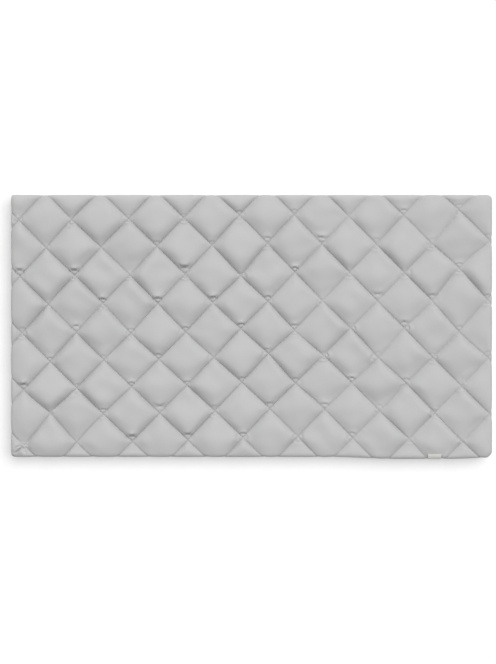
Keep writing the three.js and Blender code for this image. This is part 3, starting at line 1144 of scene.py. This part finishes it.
    def cut_opening(self, part: bmesh.types.BMesh, bed: BedShape, side: Side) -> None:
        """Cuts the rounded opening out of a part's share of the underside.

        Args:
            part: the folded part.
            bed: the surface that it lies on.
            side: which part it is.
        """
        out_x, out_y = side.value
        straight = (out_x * bed.opening_x, out_y * bed.opening_y, 0)
        cut(part, self.underneath(part, bed, False), straight, (out_x, out_y, 0))
        half = bed.opening_chords // 2
        chords = bed.opening_lines()[:half] if out_x else bed.opening_lines()[half:]
        for x, y, line_x, line_y in chords:
            for way in (-1, 1):
                sign_x = out_x if out_x else way
                sign_y = out_y if out_y else way
                point, normal = (sign_x * x, sign_y * y, 0), (sign_x * line_x, sign_y * line_y, 0)
                cut(part, self.underneath(part, bed, True), point, normal)
        low = bed.underside + self.weld
        lines = bed.opening_lines() + [(bed.opening_x, 0, 1, 0), (0, bed.opening_y, 0, 1)]
        opened = []
        for face in part.faces:
            if all(v.co.z < low for v in face.verts):
                middle = face.calc_center_median()
                x, y = abs(middle.x), abs(middle.y)
                if all((x - a) * c + (y - b) * d < 0 for a, b, c, d in lines):
                    opened.append(face)
        bmesh.ops.delete(part, geom=opened, context="FACES")

    def sew_corners(self, bm: bmesh.types.BMesh) -> None:
        """Joins the cut edges of the parts at the four corners.

        Args:
            bm: all parts together, welded along the lines where they turn down.
        """
        for way_x in (-1, 1):
            for way_y in (-1, 1):
                ends: Dict[int, List[bmesh.types.BMEdge]] = {1: [], -1: []}
                tops: Dict[int, bmesh.types.BMVert] = {}
                shared = None
                for edge in [e for e in bm.edges if e.is_boundary]:
                    gaps = [self.corner_gap(v, way_x, way_y) for v in edge.verts]
                    if any(gap is None for gap in gaps):
                        continue
                    if min(abs(gap) for gap in gaps) < 1e-5:
                        kept, joint = sorted(zip(gaps, edge.verts), key=lambda pair: -abs(pair[0]))
                        tops[1 if kept[0] > 0 else -1] = kept[1]
                        shared = joint[1]
                    elif gaps[0] * gaps[1] > 0:
                        ends[1 if gaps[0] > 0 else -1].append(edge)
                bmesh.ops.bridge_loops(bm, edges=ends[1] + ends[-1])
                bmesh.ops.contextual_create(bm, geom=[shared, tops[1], tops[-1]])

    def corner_gap(self, vertex: bmesh.types.BMVert, way_x: int, way_y: int) -> float | None:
        """Signed distance of a vertex from one corner's mitre, or None where it isn't on that seam."""
        x, y = way_x * vertex.co.x, way_y * vertex.co.y
        if x < 0 or y < 0:
            return None
        gap = self.bed.mitre_gap(x, y)
        return gap if abs(gap) < self.seam_slit + 1e-5 else None

    def gathered(self, places: np.ndarray, run: np.ndarray) -> np.ndarray:
        """Draws the hem into the small waves that its elastic makes.

        Args:
            places: places on the straightened bed.
            run: cloth past the start of the shoulder.

        Returns:
            The places with the hem gathered.
        """
        gap = self.bed.opening_gap(places[:, 0], places[:, 1])
        fade = np.exp(-np.clip(gap, 0, None) / self.gather_fade) * (run > self.bed.down_run)
        phase = (places[:, 0] + places[:, 1]) * 2 * math.pi / self.gather_pitch
        # Two slower waves keep the gathers from repeating.
        wander = 1.7 * np.sin(phase * 0.23 + 0.6) + 1.1 * np.sin(phase * 0.41)
        shift = self.gather_depth * np.sin(phase + wander) * fade
        away = np.stack([places[:, 0] / self.bed.half_length, places[:, 1] / self.bed.half_width], 1)
        away = np.where(np.abs(away) >= np.abs(away).max(1, keepdims=True) * 0.97, np.sign(away), 0)
        gathered = places.copy()
        gathered[:, :2] += away * shift[:, None]
        return gathered

    def stitched_face(self, bed: BedShape, seam_steps: Tuple[float, ...]) -> bmesh.types.BMesh:
        """Makes one face of the cloth on the straightened bed, whole and sewn at its corners.

        Args:
            bed: the surface that it lies on.
            seam_steps: distances of its grid's lines from the stitch lines, in mm.

        Returns:
            The face, open at the hem.
        """
        flat_bm = self.flat_cloth(bed, seam_steps)
        bm = bmesh.new()
        for side in Side:
            pour(self.wrapped_part(flat_bm, bed, side), bm)
        flat_bm.free()
        bmesh.ops.remove_doubles(bm, verts=bm.verts[:], dist=self.weld)
        self.sew_corners(bm)
        bmesh.ops.recalc_face_normals(bm, faces=bm.faces[:])
        if max(bm.faces, key=lambda face: face.calc_center_median().z).normal.z < 0:
            bmesh.ops.reverse_faces(bm, faces=bm.faces[:])
        return bm

    def fit(self, bm: bmesh.types.BMesh, bed: BedShape, relief: QuiltRelief | None) -> None:
        """Fits a face to the real bed, with its hem gathered and its quilting raised.

        Args:
            bm: the face on the straightened bed.
            bed: the surface that it lies on.
            relief: the quilting, or None for the face that lies on the mattress.
        """
        flat, places = read_layer(bm, "flat"), read_vertices(bm)
        run = bed.past_bend(flat[:, 0], flat[:, 1])
        fitted, outward = bed.settle(self.gathered(places, run), read_layer(bm, "outward"))
        if relief is not None:
            outward /= np.linalg.norm(outward, axis=1, keepdims=True)
            fitted = fitted + outward * relief.height(read_layer(bm, "lattice"), flat, places)[:, None]
            fitted[:, 2] = np.maximum(fitted[:, 2], 0)
        write_vertices(bm, fitted)

    def close_hem(self, bm: bmesh.types.BMesh, inner: bmesh.types.BMesh) -> None:
        """Turns the hem in by the cloth's thickness and joins it to the inner face.

        Args:
            bm: the outer face, which takes the rest.
            inner: the inner face.
        """
        rim = [e for e in bm.edges if e.is_boundary]
        raised = bmesh.ops.extrude_edge_only(bm, edges=rim)["geom"]
        level = max(e.verts[0].co.z for e in inner.edges if e.is_boundary)
        for vertex in [g for g in raised if isinstance(g, bmesh.types.BMVert)]:
            vertex.co.z = level
        bmesh.ops.reverse_faces(inner, faces=inner.faces[:])
        pour(inner, bm)
        rims = [e for e in bm.edges if e.is_boundary]
        bmesh.ops.triangle_fill(bm, edges=rims, use_beauty=False, use_dissolve=False, normal=(0, 0, 1))
        bmesh.ops.recalc_face_normals(bm, faces=bm.faces[:])
        LOG.info("hem closed, open edges left: %d", sum(1 for e in bm.edges if not e.is_manifold))

    def build(self) -> bpy.types.Object:
        """Returns:
            The finished piece.
        """
        bm = self.stitched_face(self.bed, self.seam_steps)
        self.fit(bm, self.bed, self.relief)
        lining_bed = self.bed.one_in(self.thickness, self.hem_turn)
        inner = self.stitched_face(lining_bed, self.lining_steps)
        self.fit(inner, lining_bed, None)
        self.close_hem(bm, inner)
        piece = make_object("quilted_cloth", bm)
        self.mark_surface(piece)
        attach(piece, "root")
        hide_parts("quilted_sheet")
        return piece

    def mark_surface(self, piece: bpy.types.Object) -> None:
        """Stores two surface maps: the grain in metres, and the quilting in diamonds.

        Args:
            piece: the finished cloth.
        """
        mesh = piece.data
        corners = np.zeros(len(mesh.loops), int)
        mesh.loops.foreach_get("vertex_index", corners)
        mesh.attributes.remove(mesh.attributes["outward"])
        for source, name in (("flat", "grain"), ("lattice", "quilting")):
            values = np.zeros(len(mesh.vertices) * 3, np.float32)
            mesh.attributes[source].data.foreach_get("vector", values)
            surface = mesh.uv_layers.new(name=name)
            surface.data.foreach_set("uv", values.reshape(-1, 3)[corners, :2].ravel())
            mesh.attributes.remove(mesh.attributes[source])


@dataclass(frozen=True)
class QuiltStitching:
    """The thread in the stitch lines: one small stitch repeated along every line of the lattice."""

    lattice: DiamondLattice
    bed: BedShape
    pitch: float = 3.6 * MM
    length: float = 2.7 * MM
    thread: float = 0.55 * MM
    sunk: float = 0.35 * MM
    clear_of_mitre: float = 2.5 * MM
    clear_of_hem: float = 14 * MM
    reach: int = 9

    def one_stitch(self) -> Tuple[np.ndarray, List[List[int]]]:
        """Makes one stitch along X.

        Returns:
            Its vertex places and its faces.
        """
        bm = bmesh.new()
        bmesh.ops.create_uvsphere(bm, u_segments=4, v_segments=3, radius=0.5)
        bmesh.ops.rotate(bm, verts=bm.verts[:], matrix=Matrix.Rotation(math.pi / 2, 3, "Y"))
        bmesh.ops.scale(bm, verts=bm.verts[:], vec=(self.length, self.thread, self.thread))
        places = read_vertices(bm)
        faces = [[v.index for v in f.verts] for f in bm.faces]
        bm.free()
        return places, faces

    def spots(self, u: np.ndarray, v: np.ndarray) -> Tuple[np.ndarray, np.ndarray, np.ndarray]:
        """Finds places of the lattice on the real bed.

        Args:
            u: place on the lattice, down to the right.
            v: place on the lattice, up to the right.

        Returns:
            Places, outward directions, and whether each is on the cloth.
        """
        x, y = self.lattice.place(u, v)
        y = self.bed.straighten(x, y)
        over_x, over_y = np.abs(x) - self.bed.bend_x, np.abs(y) - self.bed.bend_y
        run = np.maximum(over_x, over_y)
        places, normals = self.bed.wrap(Side.TOP, x, y)
        for side in (Side.RIGHT, Side.LEFT, Side.BACK, Side.FRONT):
            out_x, out_y = side.value
            mine = (run > 0) & ((over_x >= over_y) if out_x else (over_y > over_x))
            mine &= (out_x * x + out_y * y) > 0
            side_places, side_normals = self.bed.wrap(side, x, y)
            places[mine], normals[mine] = side_places[mine], side_normals[mine]
        gap = self.bed.mitre_gap(places[:, 0], places[:, 1]) * np.where(over_x >= over_y, 1, -1)
        hem = self.bed.opening_gap(places[:, 0], places[:, 1])
        clear = (run < self.bed.down_run) | (hem > self.clear_of_hem)
        kept = (run <= 0) | ((gap > self.clear_of_mitre) & clear)
        kept &= run < self.bed.full_run
        settled, outward = self.bed.settle(places, normals)
        return settled, outward, kept

    def line_spots(
        self, line: np.ndarray, along: np.ndarray, rising: bool
    ) -> Tuple[np.ndarray, np.ndarray, np.ndarray]:
        """Finds places on the stitch lines of one direction.

        Args:
            line: which line each place is on.
            along: how many diamonds along it.
            rising: whether the lines are those that run up to the right.

        Returns:
            Places, outward directions, and whether each is on the cloth.
        """
        return self.spots(line, along) if rising else self.spots(along, line)

    def build(self) -> bpy.types.Object:
        """Makes all stitches as one joined piece.

        Returns:
            The finished piece.
        """
        step = self.pitch / self.lattice.side
        half = self.length / self.lattice.side / 2
        along = np.arange(-self.reach, self.reach, step)
        lines = np.arange(-self.reach, self.reach + 1)
        line, along = (a.ravel() for a in np.meshgrid(lines.astype(float), along, indexing="ij"))
        places, normals, tangents = [], [], []
        for rising in (True, False):
            start, _, start_on = self.line_spots(line, along - half, rising)
            middle, normal, middle_on = self.line_spots(line, along, rising)
            end, _, end_on = self.line_spots(line, along + half, rising)
            kept = start_on & middle_on & end_on
            places.append(middle[kept])
            normals.append(normal[kept])
            tangents.append((end - start)[kept])
        place, normal, tangent = (np.concatenate(found) for found in (places, normals, tangents))
        tangent /= np.linalg.norm(tangent, axis=1, keepdims=True)
        aside = np.cross(normal, tangent)
        aside /= np.linalg.norm(aside, axis=1, keepdims=True)
        stitch, faces = self.one_stitch()
        axes = np.stack([tangent, aside, np.cross(tangent, aside)], 1)
        points = np.einsum("vk,nkc->nvc", stitch, axes) + (place - normal * self.sunk)[:, None, :]
        offsets = np.arange(len(place)) * len(stitch)
        joined = [[k + offset for k in face] for offset in offsets.tolist() for face in faces]
        mesh = bpy.data.meshes.new("quilt_stitching")
        mesh.from_pydata(points.reshape(-1, 3).tolist(), [], joined)
        piece = add_piece("quilt_stitching", mesh)
        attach(piece, "root")
        return piece


@dataclass(frozen=True)
class SideLabel:
    """The bare woven label, sewn over the shoulder of the front edge at its two short ends."""

    bed: BedShape
    place: LabelPlace
    stand_off: float = 4.2 * MM
    lower_stand_off: float = 1.2 * MM
    sewn_dip: float = 0.5 * MM
    sewn_width: float = 2.2 * MM
    ripple: float = 0.22 * MM
    thickness: float = 0.5 * MM
    columns: int = 40
    rows: int = 24

    def build(self) -> bpy.types.Object:
        """Returns:
            The finished piece.
        """
        bm = bmesh.new()
        bmesh.ops.create_grid(bm, x_segments=self.columns, y_segments=self.rows, size=0.5)
        grid = read_vertices(bm)
        across, down = grid[:, 0], grid[:, 1] + 0.5
        x = self.place.x + across * self.place.width
        run = down * (self.place.inboard + self.bed.shoulder_run) - self.place.inboard
        flat_y = -(self.bed.bend_y + run)
        places, normals = self.bed.wrap(Side.FRONT, x, flat_y)
        top_places, top_normals = self.bed.wrap(Side.TOP, x, flat_y)
        on_top = (run < 0)[:, None]
        places, normals = np.where(on_top, top_places, places), np.where(on_top, top_normals, normals)
        ends = np.exp(-((0.5 - np.abs(across)) * self.place.width / self.sewn_width) ** 2)
        off = self.stand_off + (self.lower_stand_off - self.stand_off) * down - self.sewn_dip * ends
        # Between its sewn ends it doesn't lie quite flat.
        off = off + self.ripple * np.sin(across * 9 + 1.3) * np.cos(down * 4) * (1 - ends)
        settled, outward = self.bed.settle(places, normals)
        write_vertices(bm, settled + outward * off[:, None])
        bmesh.ops.solidify(bm, geom=whole(bm), thickness=self.thickness)
        bmesh.ops.recalc_face_normals(bm, faces=bm.faces[:])
        piece = make_object("bare_label", bm)
        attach(piece, "root")
        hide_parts("side_label")
        return piece


@dataclass(frozen=True)
class MattressCover:
    """The plain mattress inside the sheet, which shows through the opening underneath."""

    bed: BedShape
    inset: float = 3 * MM
    edge_radius: float = 6 * MM
    cuts: int = 34
    sag: float = 0.5 * MM
    sag_scale: float = 9

    def build(self) -> bpy.types.Object:
        """Returns:
            The finished piece.
        """
        low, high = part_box("mattress")
        bed = self.bed
        inset = bed.side_inset + self.inset
        bm = bmesh.new()
        bmesh.ops.create_cube(bm, size=1)
        size = (2 * (bed.half_length - inset), 2 * (bed.half_width - inset), high[2] - low[2])
        bmesh.ops.scale(bm, verts=bm.verts[:], vec=size)
        bmesh.ops.bevel(
            bm,
            geom=bm.edges[:],
            offset=self.edge_radius,
            segments=4,
            profile=0.5,
            affect="EDGES",
            material=-1,
        )
        bmesh.ops.translate(bm, verts=bm.verts[:], vec=(0, 0, (low[2] + high[2]) / 2))
        for k in range(1, self.cuts):
            share = k / self.cuts - 0.5
            for normal, reach in (((1, 0, 0), size[0]), ((0, 1, 0), size[1])):
                cut(bm, whole(bm), tuple(n * share * reach for n in normal), normal)
        places = read_vertices(bm)
        places = self.bed.settle(places, np.zeros_like(places))[0]
        under = places[:, 2] < low[2] + 1e-5
        soft = soft_noise(places[:, 0], places[:, 1], self.sag_scale, NoiseLayer.SAG)
        places[under, 2] += self.sag * (0.5 + 0.5 * soft[under])
        write_vertices(bm, places)
        bmesh.ops.triangulate(bm, faces=[f for f in bm.faces if len(f.verts) > 4])
        bmesh.ops.recalc_face_normals(bm, faces=bm.faces[:])
        piece = make_object("mattress_cover", bm)
        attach(piece, "root")
        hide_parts("mattress")
        return piece


class NodeDesk:
    """Adds and links nodes in one tree, so that the finishes read as short lists."""

    def __init__(self, tree: bpy.types.NodeTree) -> None:
        """Works on a tree."""
        self.tree = tree

    def add(self, kind: str, **settings: object) -> bpy.types.Node:
        """Adds a node and sets what it is told.

        Args:
            kind: the node's type.
            settings: attributes of the node.

        Returns:
            The node.
        """
        node = self.tree.nodes.new(kind)
        for name, value in settings.items():
            setattr(node, name, value)
        return node

    def link(self, source: bpy.types.NodeSocket, target: bpy.types.NodeSocket) -> None:
        """Joins one socket to another."""
        self.tree.links.new(source, target)

    def math(self, operation: str, first: object, second: object = None) -> bpy.types.NodeSocket:
        """Adds a Math node.

        Args:
            operation: what it does.
            first: a socket or a number.
            second: a socket or a number, where it takes two.

        Returns:
            Its result.
        """
        node = self.add("ShaderNodeMath", operation=operation)
        for at, value in enumerate((first, second)):
            if isinstance(value, bpy.types.NodeSocket):
                self.link(value, node.inputs[at])
            elif value is not None:
                node.inputs[at].default_value = value
        return node.outputs[0]


def new_group(
    name: str, inputs: Dict[str, Tuple[str, object]], outputs: Dict[str, str]
) -> bpy.types.NodeTree:
    """Starts a shader node group with named sockets.

    Args:
        name: the group's name.
        inputs: socket type and starting value by name.
        outputs: socket type by name.

    Returns:
        The group, with its input and output nodes in it.
    """
    group = bpy.data.node_groups.new(name, "ShaderNodeTree")
    for label, (kind, value) in inputs.items():
        socket = group.interface.new_socket(label, in_out="INPUT", socket_type=kind)
        if value is not None:
            socket.default_value = value
    for label, kind in outputs.items():
        group.interface.new_socket(label, in_out="OUTPUT", socket_type=kind)
    group.nodes.new("NodeGroupInput")
    group.nodes.new("NodeGroupOutput")
    return group


def weave_group() -> bpy.types.NodeTree:
    """Plain weave: threads over and under each other along the two directions of the cloth.

    Returns:
        The group, with a height and a mask of the thread tops.
    """
    group = new_group(
        "plain_weave",
        {
            "Vector": ("NodeSocketVector", None),
            "Pitch": ("NodeSocketFloat", 0.5 * MM),
            "Slub": ("NodeSocketFloat", 0.25),
        },
        {"Height": "NodeSocketFloat", "Mask": "NodeSocketFloat"},
    )
    desk = NodeDesk(group)
    source = group.nodes["Group Input"].outputs
    sink = group.nodes["Group Output"].inputs
    parts = desk.add("ShaderNodeSeparateXYZ")
    desk.link(source["Vector"], parts.inputs[0])
    turn = desk.math("DIVIDE", 2 * math.pi, source["Pitch"])
    warp = desk.math("SINE", desk.math("MULTIPLY", parts.outputs[0], turn))
    weft = desk.math("SINE", desk.math("MULTIPLY", parts.outputs[1], turn))
    checks = desk.math("MULTIPLY", warp, weft)
    slubs = desk.add("ShaderNodeTexNoise", noise_dimensions="3D")
    slubs.inputs["Scale"].default_value = 900
    slubs.inputs["Detail"].default_value = 2
    desk.link(source["Vector"], slubs.inputs["Vector"])
    rough = desk.math("MULTIPLY", desk.math("SUBTRACT", slubs.outputs["Fac"], 0.5), source["Slub"])
    height = desk.math("ADD", desk.math("MULTIPLY_ADD", checks, 0.5), rough)
    desk.link(height, sink["Height"])
    desk.link(desk.math("MULTIPLY_ADD", checks, 0.5), sink["Mask"])
    return group


def tone_group() -> bpy.types.NodeTree:
    """Slight unevenness of a dyed cloth: broad soft patches and fine flecks.

    Returns:
        The group, with the toned colour.
    """
    group = new_group(
        "cloth_tone",
        {
            "Vector": ("NodeSocketVector", None),
            "Colour": ("NodeSocketColor", (0.5, 0.5, 0.5, 1)),
            "Shade": ("NodeSocketColor", (0.4, 0.4, 0.4, 1)),
            "Patches": ("NodeSocketFloat", 0.3),
            "Flecks": ("NodeSocketFloat", 0.3),
        },
        {"Colour": "NodeSocketColor"},
    )
    desk = NodeDesk(group)
    source = group.nodes["Group Input"].outputs
    sink = group.nodes["Group Output"].inputs
    shares = []
    for scale, detail, label in ((7, 3, "Patches"), (420, 2, "Flecks")):
        cloud = desk.add("ShaderNodeTexNoise", noise_dimensions="3D")
        cloud.inputs["Scale"].default_value = scale
        cloud.inputs["Detail"].default_value = detail
        desk.link(source["Vector"], cloud.inputs["Vector"])
        shares.append(desk.math("MULTIPLY", cloud.outputs["Fac"], source[label]))
    mix = desk.add("ShaderNodeMix", data_type="RGBA")
    desk.link(desk.math("ADD", *shares), mix.inputs["Factor"])
    desk.link(source["Colour"], mix.inputs["A"])
    desk.link(source["Shade"], mix.inputs["B"])
    desk.link(mix.outputs["Result"], sink["Colour"])
    return group


def pucker_group() -> bpy.types.NodeTree:
    """Small puckers that run out from the stitch lines, on the map that counts diamonds.

    Returns:
        The group, with a height and a mask that fades away from the stitch lines; the mask sets where the
        cloth's colour is darkened as painted shade.
    """
    group = new_group(
        "seam_pucker",
        {"Vector": ("NodeSocketVector", None), "Reach": ("NodeSocketFloat", 0.11)},
        {"Height": "NodeSocketFloat", "Mask": "NodeSocketFloat"},
    )
    desk = NodeDesk(group)
    source = group.nodes["Group Input"].outputs
    sink = group.nodes["Group Output"].inputs
    parts = desk.add("ShaderNodeSeparateXYZ")
    desk.link(source["Vector"], parts.inputs[0])
    heights, painted_shade_masks = [], []
    for across, along, offset in ((0, 1, 3.7), (1, 0, 9.2)):
        away = desk.math("PINGPONG", parts.outputs[across], 0.5)
        near = desk.math("EXPONENT", desk.math("MULTIPLY", desk.math("DIVIDE", away, source["Reach"]), -1))
        painted_shade_masks.append(near)
        # The puckers lie close together along a line, and run out across it.
        place = desk.add("ShaderNodeCombineXYZ")
        desk.link(desk.math("MULTIPLY", parts.outputs[along], 11), place.inputs[0])
        desk.link(desk.math("MULTIPLY_ADD", parts.outputs[across], 1.6), place.inputs[1])
        place.inputs[2].default_value = offset
        folds = desk.add("ShaderNodeTexNoise", noise_dimensions="3D")
        folds.inputs["Scale"].default_value = 1
        folds.inputs["Detail"].default_value = 1
        desk.link(place.outputs[0], folds.inputs["Vector"])
        heights.append(desk.math("MULTIPLY", folds.outputs["Fac"], near))
    desk.link(desk.math("ADD", *heights), sink["Height"])
    # The mask serves only the cloth's painted shade at the stitch lines.
    desk.link(desk.math("MAXIMUM", *painted_shade_masks), sink["Mask"])
    return group


class Surface(Enum):
    """What a pattern's coordinates follow."""

    GRAIN = "grain"
    OBJECT = "object"


@dataclass(frozen=True)
class ClothFinish:
    """A woven cloth: its colour, weave, sheen and small unevenness, and where asked, painted shade that
    darkens its colour at the stitch lines.
    """

    name: str
    colour: Tuple[float, float, float]
    shade: Tuple[float, float, float]
    surface: Surface
    pitch: float
    weave_depth: float
    roughness: float = 0.85
    sheen: float = 0.1
    patches: float = 0.25
    flecks: float = 0.25
    pucker_depth: float = 0.0
    # Painted shade: how far the colour darkens towards the stitch lines, in place of the seams' shade that
    # the mesh is too coarse to hold.
    seam_painted_shade: float = 0.0

    def build(self, groups: Dict[str, bpy.types.NodeTree]) -> bpy.types.Material:
        """Makes the material.

        Args:
            groups: the shared node groups by name.

        Returns:
            The material.
        """
        material = bpy.data.materials.new(self.name)
        material.use_nodes = True
        desk = NodeDesk(material.node_tree)
        shader = material.node_tree.nodes["Principled BSDF"]
        shader.inputs["Roughness"].default_value = self.roughness
        shader.inputs["Sheen Weight"].default_value = self.sheen
        shader.inputs["Sheen Roughness"].default_value = 0.5
        shader.inputs["Specular IOR Level"].default_value = 0.25
        if self.surface is Surface.GRAIN:
            directions = desk.add("ShaderNodeUVMap", uv_map="grain").outputs["UV"]
        else:
            directions = desk.add("ShaderNodeTexCoord").outputs["Object"]
        tone = desk.add("ShaderNodeGroup", node_tree=groups["tone"])
        tone.inputs["Colour"].default_value = (*self.colour, 1)
        tone.inputs["Shade"].default_value = (*self.shade, 1)
        tone.inputs["Patches"].default_value = self.patches
        tone.inputs["Flecks"].default_value = self.flecks
        desk.link(directions, tone.inputs["Vector"])
        desk.link(tone.outputs["Colour"], shader.inputs["Base Color"])
        weave = desk.add("ShaderNodeGroup", node_tree=groups["weave"])
        weave.inputs["Pitch"].default_value = self.pitch
        desk.link(directions, weave.inputs["Vector"])
        bump = desk.add("ShaderNodeBump")
        bump.inputs["Strength"].default_value = 1
        bump.inputs["Distance"].default_value = self.weave_depth
        desk.link(weave.outputs["Height"], bump.inputs["Height"])
        if self.pucker_depth:
            pucker = desk.add("ShaderNodeGroup", node_tree=groups["pucker"])
            desk.link(desk.add("ShaderNodeUVMap", uv_map="quilting").outputs["UV"], pucker.inputs["Vector"])
            folds = desk.add("ShaderNodeBump")
            folds.inputs["Strength"].default_value = 1
            folds.inputs["Distance"].default_value = self.pucker_depth
            desk.link(pucker.outputs["Height"], folds.inputs["Height"])
            desk.link(folds.outputs["Normal"], bump.inputs["Normal"])
            # Painted shade: near the stitch lines the colour is mixed towards half its value, by the pucker
            # mask times the painted shade share.
            painted_seam_shade = desk.add("ShaderNodeMix", data_type="RGBA")
            desk.link(desk.math("MULTIPLY", pucker.outputs["Mask"], self.seam_painted_shade), painted_seam_shade.inputs["Factor"])
            desk.link(tone.outputs["Colour"], painted_seam_shade.inputs["A"])
            painted_seam_shade.inputs["B"].default_value = (*(c * 0.5 for c in self.colour), 1)
            desk.link(painted_seam_shade.outputs["Result"], shader.inputs["Base Color"])
        desk.link(bump.outputs["Normal"], shader.inputs["Normal"])
        return material


QUILT_CLOTH = ClothFinish(
    name="grey_quilt_cloth",
    colour=(0.56, 0.56, 0.56),
    shade=(0.5, 0.5, 0.5),
    surface=Surface.GRAIN,
    pitch=0.55 * MM,
    weave_depth=0.03 * MM,
    sheen=0.05,
    pucker_depth=1.0 * MM,
    # Painted shade at the stitch lines, up to 8.5% darker.
    seam_painted_shade=0.17,
)
STITCH_THREAD = ClothFinish(
    name="grey_stitch_thread",
    colour=(0.47, 0.47, 0.47),
    shade=(0.4, 0.4, 0.4),
    surface=Surface.OBJECT,
    pitch=0.4 * MM,
    weave_depth=0.02 * MM,
    roughness=0.6,
)
LABEL_RIBBON = ClothFinish(
    name="off_white_ribbon",
    colour=(0.68, 0.68, 0.66),
    shade=(0.6, 0.6, 0.58),
    surface=Surface.OBJECT,
    pitch=0.35 * MM,
    weave_depth=0.02 * MM,
    roughness=0.55,
)
COVER_CLOTH = ClothFinish(
    name="plain_cover_cloth",
    colour=(0.78, 0.77, 0.73),
    shade=(0.7, 0.69, 0.65),
    surface=Surface.OBJECT,
    pitch=0.7 * MM,
    weave_depth=0.04 * MM,
)


@dataclass(frozen=True)
class SoftLight:
    """A soft distant light. Its heading is the angle from +Y towards +X, and its spread how wide it looks."""

    name: str
    strength: float
    spread: float
    elevation: float
    heading: float

    def build(self) -> bpy.types.Object:
        """Adds the light.

        Returns:
            The light, turned towards the middle of the bed.
        """
        data = bpy.data.lights.new(self.name, "SUN")
        data.energy = self.strength
        data.angle = self.spread
        light = bpy.data.objects.new(self.name, data)
        flat = math.cos(self.elevation)
        from_where = Vector(
            (flat * math.sin(self.heading), flat * math.cos(self.heading), math.sin(self.elevation))
        )
        light.rotation_euler = from_where.to_track_quat("Z", "Y").to_euler()
        light.location = from_where * 4
        bpy.context.scene.collection.objects.link(light)
        return light


KEY_LIGHT = SoftLight(
    name="key",
    strength=2.3,
    spread=math.radians(44),
    elevation=math.radians(62),
    heading=math.radians(18),
)
FLOOR_KEY_LIGHT = SoftLight(
    name="floor_key",
    strength=2.15,
    spread=math.radians(47),
    elevation=math.radians(69),
    heading=math.radians(50),
)


@dataclass(frozen=True)
class Studio:
    """Plain white floor, soft light from behind and a little to the right, and the camera straight above."""

    floor_size: float = 14
    floor_colour: float = 0.8
    floor_glow: float = 0.25
    floor_drop: float = 0.2 * MM
    key: SoftLight = KEY_LIGHT
    floor_key: SoftLight = FLOOR_KEY_LIGHT
    fill: float = 0.34
    camera_x: float = -8.2 * MM
    camera_y: float = -11.3 * MM
    camera_height: float = 3.64
    lens: float = 85

    def build_camera(self) -> None:
        """Adds the camera and makes it the scene's."""
        data = bpy.data.cameras.new("camera")
        data.lens = self.lens
        data.sensor_width = 36
        data.sensor_fit = "AUTO"
        data.clip_end = 100
        camera = bpy.data.objects.new("camera", data)
        camera.location = (self.camera_x, self.camera_y, self.camera_height)
        bpy.context.scene.collection.objects.link(camera)
        bpy.context.scene.camera = camera

    def build_lights(self, floor: bpy.types.Object) -> None:
        """Adds the main light, and its twin for the floor, where the soft shadow falls its own way.

        Args:
            floor: the floor.
        """
        for soft_light, state in ((self.key, "EXCLUDE"), (self.floor_key, "INCLUDE")):
            light = soft_light.build()
            receivers = bpy.data.collections.new(light.name + "_receivers")
            receivers.objects.link(floor)
            receivers.collection_objects[0].light_linking.link_state = state
            light.light_linking.receiver_collection = receivers

    def seen_white(self, desk: NodeDesk) -> bpy.types.NodeSocket:
        """Mask of the rays that should find the plain white surroundings."""
        path = desk.add("ShaderNodeLightPath").outputs
        glossy = desk.math("MAXIMUM", path["Is Glossy Ray"], path["Is Transmission Ray"])
        return desk.math("MAXIMUM", path["Is Camera Ray"], glossy)

    def build_world(self) -> None:
        """Fills the shadows evenly, and shows white behind the floor."""
        world = bpy.data.worlds.new("studio")
        world.use_nodes = True
        desk = NodeDesk(world.node_tree)
        background = world.node_tree.nodes["Background"]
        background.inputs["Color"].default_value = (1, 1, 1, 1)
        seen = desk.math("MULTIPLY_ADD", self.seen_white(desk), 1 - self.fill)
        seen.node.inputs[2].default_value = self.fill
        desk.link(seen, background.inputs["Strength"])
        bpy.context.scene.world = world

    def build_floor(self) -> bpy.types.Object:
        """Adds the white floor, which keeps the shadow, and returns it."""
        bm = bmesh.new()
        bmesh.ops.create_grid(bm, x_segments=1, y_segments=1, size=self.floor_size / 2)
        bmesh.ops.translate(bm, verts=bm.verts[:], vec=(0, 0, -self.floor_drop))
        floor = make_object("floor", bm)
        material = bpy.data.materials.new("white_floor")
        material.use_nodes = True
        desk = NodeDesk(material.node_tree)
        shader = material.node_tree.nodes["Principled BSDF"]
        tint = (self.floor_colour,) * 3
        shader.inputs["Base Color"].default_value = (*tint, 1)
        shader.inputs["Roughness"].default_value = 1
        shader.inputs["Specular IOR Level"].default_value = 0
        shader.inputs["Emission Color"].default_value = (1, 1, 1, 1)
        glow = desk.math("MULTIPLY", self.seen_white(desk), self.floor_glow)
        desk.link(glow, shader.inputs["Emission Strength"])
        floor.data.materials.append(material)
        return floor

    def build(self) -> None:
        """Sets up all of the studio."""
        self.build_camera()
        self.build_world()
        self.build_lights(self.build_floor())


def main() -> None:
    """Builds the studio and the pieces, and reports each."""
    logging.basicConfig(level=logging.INFO, format="%(name)s: %(message)s")
    bpy.context.scene.view_settings.view_transform = "Standard"
    Studio().build()
    groups = {"weave": weave_group(), "tone": tone_group(), "pucker": pucker_group()}
    lattice, bed, label_place = DiamondLattice(), BedShape(), LabelPlace()
    sheet_maker = QuiltedSheet(lattice, bed, QuiltRelief(lattice, bed, label_place))
    mattress = MattressCover(bed).build()
    cloth = sheet_maker.build()
    stitching = QuiltStitching(lattice, bed).build()
    label = SideLabel(bed, label_place).build()
    sheet_maker.flat_area()
    finishes = (
        (cloth, QUILT_CLOTH),
        (stitching, STITCH_THREAD),
        (label, LABEL_RIBBON),
        (mattress, COVER_CLOTH),
    )
    for piece, finish in finishes:
        piece.data.materials.append(finish.build(groups))
        faces = sum(len(p.vertices) - 2 for p in piece.data.polygons)
        LOG.info("%s: %d triangles, finished in %s", piece.name, faces, finish.name)


if __name__ == "__main__":
    main()
